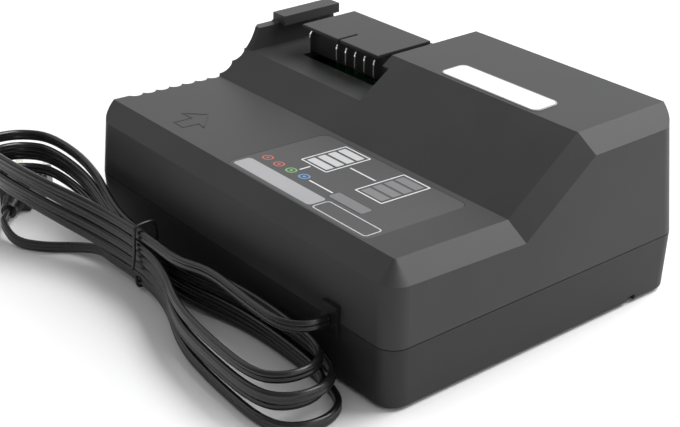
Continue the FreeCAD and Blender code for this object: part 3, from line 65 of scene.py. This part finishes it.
def place_camera():
    """The camera, level, looking at AIM from a distance."""
    data = bpy.data.cameras.new("camera")
    data.lens, data.sensor_width, data.sensor_fit = LENS, SENSOR_WIDTH, "HORIZONTAL"
    camera = bpy.data.objects.new("camera", data)
    bpy.context.collection.objects.link(camera)
    back = Vector((math.sin(AZIMUTH) * math.cos(ELEVATION),
                   -math.cos(AZIMUTH) * math.cos(ELEVATION), math.sin(ELEVATION)))
    right = Vector((math.cos(AZIMUTH), math.sin(AZIMUTH), 0))
    turn = Matrix((right, back.cross(right), back)).transposed()
    camera.matrix_world = Matrix.Translation(AIM + back * DISTANCE) @ turn.to_4x4()
    bpy.context.scene.camera = camera


place_camera()

# materials
DRIFT_FROM, DRIFT_TO = 0.3, 0.7
GLOSS_SWING = 0.05
GLOSSIEST, DULLEST = 0.02, 1.0


def new_material(name, colour, roughness, metallic=0.0):
    """A plain material, with its nodes, links and shader."""
    material = bpy.data.materials.new(name)
    material.use_nodes = True
    nodes, links = material.node_tree.nodes, material.node_tree.links
    shader = nodes["Principled BSDF"]
    shader.inputs["Base Color"].default_value = (*colour, 1)
    shader.inputs["Roughness"].default_value = roughness
    shader.inputs["Metallic"].default_value = metallic
    return material, nodes, links, shader


def noise(nodes, links, scale, detail=4.0):
    """Noise that stays fixed to the piece."""
    place = nodes.new("ShaderNodeTexCoord")
    texture = nodes.new("ShaderNodeTexNoise")
    texture.inputs["Scale"].default_value = scale
    texture.inputs["Detail"].default_value = detail
    links.new(place.outputs["Object"], texture.inputs["Vector"])
    return texture


def grained(name, colour, roughness, spread=0.12, grain=2600.0, depth=0.00003, cloud=28.0,
            metallic=0.0, strength=0.35, sheen=0.5):
    """A moulded or coated surface: fine grain in the normal, slow drift in colour and gloss."""
    material, nodes, links, shader = new_material(name, colour, roughness, metallic)
    shader.inputs["Specular IOR Level"].default_value = sheen
    slow = noise(nodes, links, cloud)
    ramp = nodes.new("ShaderNodeValToRGB")
    darker, lighter = ramp.color_ramp.elements[0], ramp.color_ramp.elements[1]
    darker.position, lighter.position = DRIFT_FROM, DRIFT_TO
    darker.color = (*[level * (1 - spread) for level in colour], 1)
    lighter.color = (*[min(1, level * (1 + spread)) for level in colour], 1)
    links.new(slow.outputs["Fac"], ramp.inputs["Fac"])
    links.new(ramp.outputs["Color"], shader.inputs["Base Color"])
    gloss = nodes.new("ShaderNodeMapRange")
    gloss.inputs["To Min"].default_value = max(GLOSSIEST, roughness - GLOSS_SWING)
    gloss.inputs["To Max"].default_value = min(DULLEST, roughness + GLOSS_SWING)
    links.new(slow.outputs["Fac"], gloss.inputs["Value"])
    links.new(gloss.outputs["Result"], shader.inputs["Roughness"])
    if depth:
        fine = noise(nodes, links, grain, 2.0)
        bump = nodes.new("ShaderNodeBump")
        bump.inputs["Strength"].default_value = strength
        bump.inputs["Distance"].default_value = depth
        links.new(fine.outputs["Fac"], bump.inputs["Height"])
        links.new(bump.outputs["Normal"], shader.inputs["Normal"])
    return material


# housing, cord and feet
shell_dark = grained("shell_plastic", (0.036, 0.036, 0.037), 0.47, sheen=0.28)
tray_dark = grained("tray_plastic", (0.020, 0.020, 0.021), 0.48, sheen=0.28)
block_dark = grained("terminal_plastic", (0.026, 0.026, 0.027), 0.45, sheen=0.28)
cord_black = grained("cord_rubber", (0.007, 0.007, 0.0075), 0.27, grain=1800, depth=0.00001)
plug_black = grained("plug_rubber", (0.007, 0.007, 0.0075), 0.32, grain=1800, depth=0.00002)
foot_black = grained("foot_rubber", (0.015, 0.015, 0.015), 0.75)
tie_black = grained("tie_plastic", (0.012, 0.012, 0.012), 0.3, depth=0)

# metal
bright = grained("contact_metal", (0.86, 0.86, 0.84), 0.16, metallic=1.0, depth=0, spread=0.04)
prong = grained("prong_metal", (0.72, 0.70, 0.64), 0.24, metallic=1.0, depth=0, spread=0.05)
zinc = grained("screw_zinc", (0.55, 0.55, 0.56), 0.3, metallic=1.0, depth=0)
aluminium = grained("sink_metal", (0.7, 0.7, 0.72), 0.35, metallic=1.0)
brass = grained("clip_brass", (0.7, 0.55, 0.25), 0.3, metallic=1.0, depth=0)
copper = grained("choke_copper", (0.6, 0.28, 0.12), 0.3, metallic=1.0, depth=0)

# electronics inside
laminate = grained("board_laminate", (0.03, 0.16, 0.07), 0.35, depth=0, cloud=300)
ferrite = grained("ferrite", (0.05, 0.05, 0.053), 0.6, cloud=200)
tape = grained("winding_tape", (0.75, 0.52, 0.08), 0.3, depth=0)
sleeve = grained("capacitor_sleeve", (0.015, 0.015, 0.03), 0.25, depth=0)
sleeve_green = grained("capacitor_sleeve_green", (0.03, 0.10, 0.05), 0.25, depth=0)
film_yellow = grained("film_case", (0.65, 0.5, 0.08), 0.35, depth=0)
epoxy = grained("device_epoxy", (0.02, 0.02, 0.02), 0.5)
glass_like = grained("fuse_glass", (0.7, 0.72, 0.72), 0.1, depth=0)
lead_red = grained("lead_red", (0.4, 0.02, 0.02), 0.4, depth=0)
lead_black = grained("lead_black", (0.02, 0.02, 0.02), 0.4, depth=0)
ribbon_grey = grained("ribbon_grey", (0.35, 0.35, 0.36), 0.5, depth=0)
light_face = grained("light_epoxy", (0.7, 0.7, 0.66), 0.3, depth=0)

# films and inks
panel_film = grained("label_film", (0.045, 0.045, 0.047), 0.5, spread=0.05, grain=5000, depth=0.00001)
badge_white = grained("badge_film", (0.80, 0.80, 0.79), 0.4, spread=0.02, grain=5000, depth=0.00001)
lens_grey = grained("lens_smoke", (0.11, 0.11, 0.115), 0.22, depth=0, spread=0.04)
ink_light = grained("ink_light", (0.46, 0.46, 0.47), 0.5, spread=0.03, depth=0)
ink_stripe = grained("ink_stripe", (0.30, 0.30, 0.31), 0.5, spread=0.05, depth=0)
ink_white = grained("ink_white", (0.62, 0.62, 0.62), 0.5, spread=0.03, depth=0)
ink_grey = grained("ink_grey", (0.16, 0.16, 0.165), 0.5, spread=0.03, depth=0)
ink_red = grained("ink_red", (0.42, 0.10, 0.08), 0.5, spread=0.05, depth=0)
ink_green = grained("ink_green", (0.16, 0.36, 0.12), 0.5, spread=0.05, depth=0)
ink_blue = grained("ink_blue", (0.12, 0.26, 0.48), 0.5, spread=0.05, depth=0)
badge_rim = grained("badge_rim", (0.35, 0.35, 0.35), 0.45, spread=0.03, depth=0)

NODE_MATERIALS = {
    "upper_shell": shell_dark, "lower_shell": tray_dark, "case_screws": zinc, "rubber_feet": foot_black,
    "terminal_block": block_dark, "terminal_blades": bright, "terminal_board": laminate,
    "circuit_board": laminate, "board_screws": zinc, "transformer_base": epoxy,
    "transformer_core": ferrite, "transformer_winding": tape, "bulk_capacitor": sleeve,
    "output_capacitors": sleeve_green, "film_capacitor": film_yellow, "heat_sink": aluminium,
    "power_devices": epoxy, "fuse": glass_like, "fuse_clips": brass, "line_choke": copper,
    "control_chip": epoxy, "panel_label": panel_film, "indicator_lens": lens_grey,
    "indicator_board": laminate, "indicator_lights": light_face, "badge_label": badge_white,
    "battery_leads": lead_red, "indicator_ribbon": ribbon_grey, "strain_relief": plug_black,
    "mains_leads": lead_black, "cord_hank": cord_black, "cord_lead": cord_black,
    "cord_tail": cord_black, "twist_tie": tie_black, "plug_body": plug_black, "plug_blades": prong,
}
for name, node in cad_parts.items():
    node.data.materials.clear()
    node.data.materials.append(NODE_MATERIALS[name])


def round_edges(piece, width, angle=32, harden=True):
    """Small round on the sharp edges of a piece."""
    bevel = piece.modifiers.new("edge_round", "BEVEL")
    bevel.width = width * MM
    bevel.segments = 2
    bevel.limit_method = "ANGLE"
    bevel.angle_limit = math.radians(angle)
    bevel.harden_normals = harden


for name, width in (("upper_shell", 0.55), ("lower_shell", 0.35), ("strain_relief", 0.6),
                    ("plug_blades", 0.3)):
    round_edges(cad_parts[name], width)


# helpers for added pieces
def add_mesh(name, vertices, faces, material, slot, smooth=False):
    """A mesh piece in millimetres that rides on the body."""
    mesh = bpy.data.meshes.new(name)
    mesh.from_pydata([Vector(vertex) * MM for vertex in vertices], [], faces)
    mesh.update()
    for face in mesh.polygons:
        face.use_smooth = smooth
    mesh.materials.append(material)
    piece = bpy.data.objects.new(name, mesh)
    bpy.context.collection.objects.link(piece)
    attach(piece, "root")
    return piece


def deck_point(x, y, lift):
    """A point over the sloping deck."""
    return (x, y, DECK_FRONT - (y - FRONT_Y) * DECK_SLOPE + lift)


def top_point(x, y, lift):
    """A point over the level top of the high block."""
    return (x, y, BLOCK_TOP + lift)


def level_point(x, y, z):
    """A point of an outline drawn from above."""
    return (x, y, z)


def side_point(y, z, x):
    """A point of an outline drawn from the side."""
    return (x, y, z)


def rounded(box, radius, steps=6):
    """Outline of a rounded rectangle, counter-clockwise."""
    x0, y0, x1, y1 = box
    points = []
    centres = ((x1 - radius, y0 + radius, -90), (x1 - radius, y1 - radius, 0),
               (x0 + radius, y1 - radius, 90), (x0 + radius, y0 + radius, 180))
    for centre_x, centre_y, start in centres:
        for step in range(steps + 1):
            angle = math.radians(start + 90 * step / steps)
            points.append((centre_x + radius * math.cos(angle), centre_y + radius * math.sin(angle)))
    return points


def inset(box, line):
    """A box smaller by a line's width on each side."""
    x0, y0, x1, y1 = box
    return (x0 + line, y0 + line, x1 - line, y1 - line)


def slab(points, where, low, high):
    """Vertices and faces of a plate over an outline."""
    count = len(points)
    vertices = [where(x, y, low) for x, y in points] + [where(x, y, high) for x, y in points]
    faces = [tuple(range(count, 2 * count)), tuple(reversed(range(count)))]
    faces += [(i, (i + 1) % count, count + (i + 1) % count, count + i) for i in range(count)]
    return vertices, faces


def rim(box, line, corner, inner_corner, where, low, high):
    """Vertices and faces of a thin frame inside a rounded rectangle."""
    outer, inner = rounded(box, corner), rounded(inset(box, line), inner_corner)
    count = len(outer)
    vertices = []
    for level in (low, high):
        for outline in (outer, inner):
            vertices += [where(x, y, level) for x, y in outline]
    faces = []
    for i in range(count):
        j = (i + 1) % count
        lower_inner, upper_outer, upper_inner = count, 2 * count, 3 * count
        faces.append((upper_outer + i, upper_outer + j, upper_inner + j, upper_inner + i))
        faces.append((j, i, lower_inner + i, lower_inner + j))
        faces.append((i, j, upper_outer + j, upper_outer + i))
        faces.append((lower_inner + j, lower_inner + i, upper_inner + i, upper_inner + j))
    return vertices, faces


def merge(*solids):
    """Vertices and faces of several solids as one mesh."""
    vertices, faces = [], []
    for more_vertices, more_faces in solids:
        shift = len(vertices)
        vertices += more_vertices
        faces += [tuple(index + shift for index in face) for face in more_faces]
    return vertices, faces


def stroke(points, width, where, low, high):
    """Thin bars along a run of points."""
    solids = []
    for (x0, y0), (x1, y1) in zip(points, points[1:]):
        length = math.hypot(x1 - x0, y1 - y0)
        ux, uy = (x1 - x0) / length * width / 2, (y1 - y0) / length * width / 2
        corners = [(x0 - ux + uy, y0 - uy - ux), (x1 + ux + uy, y1 + uy - ux),
                   (x1 + ux - uy, y1 + uy + ux), (x0 - ux - uy, y0 - uy + ux)]
        solids.append(slab(corners, where, low, high))
    return merge(*solids)


# terminal block: a thin slotted plate over a set-back body, with hooked blades in front of it
PLATE_LEFT, PLATE_FRONT, PLATE_RIGHT, PLATE_REAR = -71.0, 18.0, -20.8, 47.0
PLATE_TOP, PLATE_THICKNESS, PLATE_OVERLAP = 75.4, 1.5, 0.01
BODY_SETBACK, BODY_MARGIN, ROOT = 5.4, 0.6, 0.5
SLOT_X, SLOT_WIDTH, SLOT_RUN = -46.0, 1.3, 10.0
ROW_START, ROW_PITCH, ROW_COUNT, SINGLE_BLADE = -50.8, 6.1, 5, -69.4
BLADE_FRONT, BLADE_RUN, BLADE_TOP, BLADE_ROUND, BLADE_THICKNESS = 20.6, 6.0, 72.2, 3.0, 0.9
BLOCK_EDGE, BLADE_EDGE, SHARP_ANGLE = 0.3, 0.15, 30


def terminal_block():
    """The slotted plate and the body under it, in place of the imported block."""
    slot_left, slot_right = SLOT_X - SLOT_WIDTH / 2, SLOT_X + SLOT_WIDTH / 2
    slot_end = PLATE_FRONT + SLOT_RUN
    plate = [(PLATE_LEFT, PLATE_FRONT), (slot_left, PLATE_FRONT), (slot_left, slot_end),
             (slot_right, slot_end), (slot_right, PLATE_FRONT), (PLATE_RIGHT, PLATE_FRONT),
             (PLATE_RIGHT, PLATE_REAR), (PLATE_LEFT, PLATE_REAR)]
    left, right = PLATE_LEFT + BODY_MARGIN, PLATE_RIGHT - BODY_MARGIN
    front, rear = PLATE_FRONT + BODY_SETBACK, PLATE_REAR - BODY_MARGIN
    body = [(left, front), (right, front), (right, rear), (left, rear)]
    under = PLATE_TOP - PLATE_THICKNESS
    solids = merge(slab(plate, level_point, under, PLATE_TOP),
                   slab(body, level_point, DOCK_FLOOR - ROOT, under + PLATE_OVERLAP))
    block = add_mesh("contact_block", *solids, block_dark, "terminal_block")
    round_edges(block, BLOCK_EDGE, angle=SHARP_ANGLE, harden=False)
    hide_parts("terminal_block")


def terminal_blades():
    """A row of blades and a single one, each with a round upper front corner."""
    hook = []
    for angle in range(0, 91, 15):
        turned = math.radians(angle)
        hook.append((BLADE_FRONT + BLADE_ROUND * (1 - math.sin(turned)),
                     BLADE_TOP - BLADE_ROUND * (1 - math.cos(turned))))
    rear, low = BLADE_FRONT + BLADE_RUN, DOCK_FLOOR - ROOT
    outline = hook + [(BLADE_FRONT, low), (rear, low), (rear, BLADE_TOP)]
    places = [SINGLE_BLADE] + [ROW_START + ROW_PITCH * number for number in range(ROW_COUNT)]
    half = BLADE_THICKNESS / 2
    solids = merge(*[slab(outline, side_point, x - half, x + half) for x in places])
    blades = add_mesh("contact_blades", *solids, bright, "contact_metal")
    round_edges(blades, BLADE_EDGE, angle=SHARP_ANGLE, harden=False)
    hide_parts("terminal_blades")


terminal_block()
terminal_blades()

# markings on the panel, printed on the film: all plain or generic
FILM, INK_SINK, INK_RISE = -LABEL_RECESS + FILM_THICKNESS, 0.05, 0.03
INK = (deck_point, FILM - INK_SINK, FILM + INK_RISE)
STRIPE, FIELD = (-10.5, -61.4, 36.5, -53.2), (37.6, -61.4, 67.6, -53.2)
FIELD_LINE, FIELD_CORNER, FIELD_INNER_CORNER = 0.5, 1.6, 1.2
MARKS = ((-6.5, -47.8, ink_red), (0.9, -48.1, ink_red), (8.2, -47.8, ink_green), (15.6, -47.4, ink_blue))
MARK_HALF_X, MARK_HALF_Y, MARK_LINE, DOT_HALF = 2.3, 2.1, 0.6, 0.7
MARK_CORNER, MARK_INNER_CORNER, DOT_CORNER = 1.9, 1.4, 0.69
LINK_WIDTH = 0.7
LINKS = (((19.8, -48.0), (32.9, -48.0)), ((19.6, -28.5), (33.5, -28.5)), ((9.5, -44.6), (9.5, -40.2)))
FULL_PACK, PART_PACK = (1.9, -38.7, 17.4, -16.6), (35.4, -39.8, 50.6, -16.0)
PACK_BARS, PACK_LINE, PACK_SIDE, BAR_FIRST, BAR_GAP = 4, 0.6, 1.8, 1.6, 1.2
PACK_CORNER, PACK_INNER_CORNER, BAR_CORNER = 0.6, 0.3, 0.4


def print_on_panel(name, solid, ink):
    """A thin layer of ink on the film."""
    add_mesh(name, *solid, ink, "label_face")


def panel_mark(index, x, y, ink):
    """A small ring with a dot in it."""
    box = (x - MARK_HALF_X, y - MARK_HALF_Y, x + MARK_HALF_X, y + MARK_HALF_Y)
    dot = (x - DOT_HALF, y - DOT_HALF, x + DOT_HALF, y + DOT_HALF)
    print_on_panel(f"panel_mark_{index}", rim(box, MARK_LINE, MARK_CORNER, MARK_INNER_CORNER, *INK), ink)
    print_on_panel(f"panel_dot_{index}", slab(rounded(dot, DOT_CORNER), *INK), ink)


def battery_mark(name, box, frame_ink, bar_ink):
    """Outline of a pack with bars inside it."""
    print_on_panel(name + "_outline", rim(box, PACK_LINE, PACK_CORNER, PACK_INNER_CORNER, *INK), frame_ink)
    x0, y0, x1, y1 = box
    pitch = (y1 - y0 - (BAR_FIRST + PACK_LINE)) / PACK_BARS
    bars = []
    for number in range(PACK_BARS):
        low = y0 + BAR_FIRST + number * pitch
        bar = (x0 + PACK_SIDE, low, x1 - PACK_SIDE, low + pitch - BAR_GAP)
        bars.append(slab(rounded(bar, BAR_CORNER), *INK))
    print_on_panel(name + "_bars", merge(*bars), bar_ink)


print_on_panel("panel_stripe", slab(rounded(STRIPE, FIELD_CORNER), *INK), ink_stripe)
print_on_panel("panel_field", rim(FIELD, FIELD_LINE, FIELD_CORNER, FIELD_INNER_CORNER, *INK), ink_light)
for index, (x, y, ink) in enumerate(MARKS):
    panel_mark(index, x, y, ink)
print_on_panel("panel_lines", merge(*[stroke(link, LINK_WIDTH, *INK) for link in LINKS]), ink_white)
battery_mark("panel_pack_full", FULL_PACK, ink_white, ink_light)
battery_mark("panel_pack_part", PART_PACK, ink_white, ink_grey)

# arrow on the deck, moulded as a thin raised outline
ARROW = ((-56.6, -41.4), (-63.4, -49.3), (-57.2, -49.0), (-57.0, -57.4), (-50.4, -57.4), (-50.2, -50.0),
         (-45.8, -50.7), (-56.6, -41.4))
ARROW_LINE, ARROW_SINK, ARROW_RISE = 0.55, 0.05, 0.14
add_mesh("deck_arrow", *stroke(ARROW, ARROW_LINE, deck_point, -ARROW_SINK, ARROW_RISE), shell_dark,
         "housing_upper")

# rim of the bare badge
BADGE, BADGE_LINE = (9.4, 24.4, 61.8, 37.6), 0.5
BADGE_CORNER, BADGE_INNER_CORNER, BADGE_LOW, BADGE_HIGH = 3.0, 2.6, 0.30, 0.38
badge_frame = rim(BADGE, BADGE_LINE, BADGE_CORNER, BADGE_INNER_CORNER, top_point, BADGE_LOW, BADGE_HIGH)
add_mesh("badge_edge", *badge_frame, badge_rim, "badge_face")

# the hank as it lies in the photograph, within 10 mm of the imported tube
WAIST_X, WAIST_Y = -34.0, -87.6
STEP, LIFT = 4.8, 11.5
LEFT_SWING, RIGHT_SWING, NECK = math.radians(3.0), math.radians(-3.5), 14.0
# reach and half width of each loop, from the top one down
LEFT_LOOPS = ((103.5, 17.0), (101.0, 14.8), (104.5, 16.2), (100.0, 14.6))
RIGHT_LOOPS = ((109.0, 14.2), (115.0, 16.0), (111.0, 13.9), (119.0, 15.4))
# the tip of a loop is a half circle, whose control points are corners of the octagon round it
TIP_SIDE = math.tan(math.radians(22.5))
TIP_RUN = 1 - TIP_SIDE
# steps to the left, to the front and up from the grommet, over the hank
LEAD = ((0, 0, 0), (0, 1.2, 0), (0, 7.2, 0), (3.1, 12.4, 0.2), (8.6, 15.4, 0.4), (19.0, 15.8, 0.6),
        (34.0, 15.0, 0.8), (52.0, 14.0, 1.0))
PLUG_HEIGHT = 6.1
# length, heading in degrees and height of each run from the hank to the plug
TAIL = ((9.0, 178.0, GROUND + TIE_ROOM), (13.0, 205.0, GROUND), (13.0, 232.0, GROUND),
        (13.0, 212.0, GROUND), (12.0, 176.0, PLUG_HEIGHT), (5.0, 140.0, PLUG_HEIGHT),
        (6.0, 140.0, PLUG_HEIGHT))
CORE, GROOVE_LIMIT, GROOVE_SPREAD = 2.6, 0.95, 0.12
TIE_WIRE, TIE_HALF, TIE_LOW, TIE_ABOVE = 1.3, 5.1, 0.95, 4.2


def turned_place(waist_x, waist_y, turn, u, v, z):
    """A place u along and v across a line through the waist of the hank."""
    return (waist_x + u * math.cos(turn) - v * math.sin(turn),
            waist_y + u * math.sin(turn) + v * math.cos(turn), z)


def hank_place(u, v, z):
    """A place on the hank, whose two ends swing forward from the tie."""
    turn = LEFT_SWING if u < -NECK else RIGHT_SWING if u > NECK else 0.0
    return turned_place(WAIST_X, WAIST_Y, turn, u, v, z)


def hank_loop(upper, left_reach, left_half, right_reach, right_half):
    """Control points of one turn: along the back to the left, round, and back by the right."""
    lower = upper - STEP
    middle = (upper + lower) / 2
    left, right = -left_reach, right_reach
    left_tip, right_tip = left + TIP_RUN * left_half, right - TIP_RUN * right_half
    return [
        hank_place(0, -COLUMN, upper + TIE_ROOM),
        hank_place(0.25 * left, -COLUMN - 1.0, upper + TIE_ROOM + 1.2),
        hank_place(0.56 * left, -left_half + 1.5, upper + LIFT - 1.0),
        hank_place(left_tip, -left_half, upper + LIFT),
        hank_place(left, -TIP_SIDE * left_half, middle + STEP * 0.2 + LIFT),
        hank_place(left, TIP_SIDE * left_half, middle - STEP * 0.2 + LIFT),
        hank_place(left_tip, left_half, lower + LIFT),
        hank_place(0.56 * left, left_half - 2.6, lower + LIFT - 1.0),
        hank_place(0.25 * left, COLUMN + 1.6, lower + TIE_ROOM + 1.2),
        hank_place(0, COLUMN, lower + TIE_ROOM),
        hank_place(0.2 * right, COLUMN + 1.4, lower + TIE_ROOM * 0.7),
        hank_place(0.42 * right, right_half - 1.8, lower),
        hank_place(0.66 * right, right_half + 0.4, lower),
        hank_place(right_tip, right_half, lower),
        hank_place(right, TIP_SIDE * right_half, lower),
        hank_place(right, -TIP_SIDE * right_half, lower),
        hank_place(right_tip, -right_half, lower),
        hank_place(0.66 * right, -right_half - 0.4, lower),
        hank_place(0.42 * right, -right_half + 1.8, lower),
        hank_place(0.2 * right, -COLUMN - 1.4, lower + TIE_ROOM * 0.7),
    ]


def cord_route():
    """Control points from the grommet, through the hank, to the plug."""
    exit_x, exit_y, exit_z = EXIT
    points = [(exit_x - left, exit_y - front, exit_z + rise) for left, front, rise in LEAD]
    top = GROUND + TIE_ROOM + LOOPS * STEP
    points += [hank_place(30, -COLUMN, top + 0.8), hank_place(12, -COLUMN, top)]
    for loop in range(LOOPS):
        points += hank_loop(GROUND + (LOOPS - loop) * STEP, *LEFT_LOOPS[loop], *RIGHT_LOOPS[loop])
    points.append(hank_place(0, -COLUMN, GROUND + TIE_ROOM))
    points.append(turned_place(PACKED_WAIST_X, PACKED_WAIST_Y, PACKED_TURN, -14, -COLUMN, GROUND + TIE_ROOM))
    x, y, _ = points[-1]
    for length, heading, height in TAIL:
        x += length * math.cos(math.radians(heading))
        y += length * math.sin(math.radians(heading))
        points.append((x, y, height))
    return points


def tie_route():
    """Control points of the wire round the waist, whose free end lies over the front."""
    front, rear = WAIST_Y - TIE_HALF, WAIST_Y + TIE_HALF
    low, high = TIE_LOW, GROUND + TIE_ROOM + LOOPS * STEP + TIE_ABOVE
    loop = [(front, low + 5), (front, low + 0.6), (WAIST_Y - 2.5, low), (WAIST_Y + 2.5, low),
            (rear, low + 0.6), (rear, high / 2), (rear, high - 0.8), (WAIST_Y + 2.4, high),
            (WAIST_Y - 2.4, high), (front, high - 0.8), (front - 0.5, high * 0.62),
            (front - 1.2, high * 0.46), (front - 2.0, high * 0.36)]
    return [(WAIST_X + 0.10 * index, y, z) for index, (y, z) in enumerate(loop)]


def smooth_path(points, resolution=6):
    """Points of the smooth line that has these points as its control points."""
    curve = bpy.data.curves.new("route", "CURVE")
    curve.dimensions = "3D"
    spline = curve.splines.new("NURBS")
    spline.points.add(len(points) - 1)
    for point, place in zip(spline.points, points):
        point.co = (*[value * MM for value in place], 1)
    spline.order_u = 3
    spline.use_endpoint_u = True
    spline.resolution_u = resolution
    route = bpy.data.objects.new("route", curve)
    mesh = bpy.data.meshes.new_from_object(route)
    path = [vertex.co.copy() for vertex in mesh.vertices]
    bpy.data.objects.remove(route)
    bpy.data.curves.remove(curve)
    bpy.data.meshes.remove(mesh)
    return path


def twin_section(width, core, steps=10):
    """Outline of a flat twin lead: two round cores joined at a groove."""
    offset = (width - core) / 2
    opening = math.acos(min(GROOVE_LIMIT, offset / (core / 2))) + GROOVE_SPREAD
    upper = []
    for step in range(steps + 1):
        angle = -math.pi / 2 + opening + (2 * math.pi - 2 * opening) * step / steps
        upper.append((core / 2 * math.cos(angle), offset + core / 2 * math.sin(angle)))
    return upper + [(-side, -lift) for side, lift in upper]


def round_section(diameter, steps=10):
    """Outline of a round wire."""
    radius, step_angle = diameter / 2, 2 * math.pi / steps
    return [(radius * math.cos(step * step_angle), radius * math.sin(step * step_angle))
            for step in range(steps)]


def sweep(name, path, section, material, slot):
    """A solid strand along a path, its section's long side kept upright."""
    vertices, faces = [], []
    count = len(section)
    for index, point in enumerate(path):
        before, after = path[max(index - 1, 0)], path[min(index + 1, len(path) - 1)]
        ahead = (after - before).normalized()
        upright = abs(ahead.z) >= 0.95
        across = ahead.cross(Vector((1, 0, 0)) if upright else Vector((0, 0, 1))).normalized()
        upward = across.cross(ahead).normalized()
        for side, lift in section:
            vertices.append((point + (across * side + upward * lift) * MM) / MM)
    for start in range(0, (len(path) - 1) * count, count):
        for corner in range(count):
            other = (corner + 1) % count
            faces.append((start + corner, start + other, start + count + other, start + count + corner))
    last = (len(path) - 1) * count
    faces.append(tuple(range(count - 1, -1, -1)))
    faces.append(tuple(range(last, last + count)))
    return add_mesh(name, vertices, faces, material, slot, smooth=True)


tie_wire = sweep("tie_wire", smooth_path(tie_route()), round_section(TIE_WIRE), tie_black, "tie_plastic")
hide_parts("twist_tie")
cord_path = smooth_path(cord_route())
mains_cord = sweep("mains_cord", cord_path, twin_section(CORD_WIDTH, CORE), cord_black, "cord_rubber")
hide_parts("cord_lead", "cord_hank", "cord_tail")

# floor, world and lamps
FLOOR_HALF, FLOOR_COLOUR, FLOOR_ROUGHNESS = 4, (0.86, 0.86, 0.86), 0.8
WORLD_STRENGTH = 0.34
LAMP_AIM = Vector((0, 0, 0.04))
LAMPS = (("key_light", (0.35, 0.95, 1.25), 1.1, 33), ("sheen_light", (-1.0, 1.15, 0.85), 2.0, 10),
         ("left_light", (-1.0, -0.6, 0.9), 0.9, 2), ("side_light", (1.3, 0.25, 0.6), 0.9, 4))


def add_floor():
    """A plain pale floor, which is no part of the object."""
    corners = [(-FLOOR_HALF, -FLOOR_HALF, 0), (FLOOR_HALF, -FLOOR_HALF, 0),
               (FLOOR_HALF, FLOOR_HALF, 0), (-FLOOR_HALF, FLOOR_HALF, 0)]
    mesh = bpy.data.meshes.new("floor")
    mesh.from_pydata(corners, [], [(0, 1, 2, 3)])
    mesh.materials.append(new_material("floor_paper", FLOOR_COLOUR, FLOOR_ROUGHNESS)[0])
    floor = bpy.data.objects.new("floor", mesh)
    bpy.context.collection.objects.link(floor)


def add_world():
    """Even white light from all round."""
    world = bpy.data.worlds.new("studio")
    bpy.context.scene.world = world
    world.use_nodes = True
    background = world.node_tree.nodes["Background"]
    background.inputs["Color"].default_value = (1, 1, 1, 1)
    background.inputs["Strength"].default_value = WORLD_STRENGTH


def add_lamp(name, place, size, power):
    """A square lamp that faces the object."""
    data = bpy.data.lights.new(name, "AREA")
    data.shape = "SQUARE"
    data.size = size
    data.energy = power
    lamp = bpy.data.objects.new(name, data)
    bpy.context.collection.objects.link(lamp)
    lamp.location = place
    lamp.rotation_euler = (LAMP_AIM - Vector(place)).to_track_quat("-Z", "Y").to_euler()


add_floor()
add_world()
for name, place, size, power in LAMPS:
    add_lamp(name, place, size, power)

bpy.context.scene.view_settings.view_transform = "Standard"
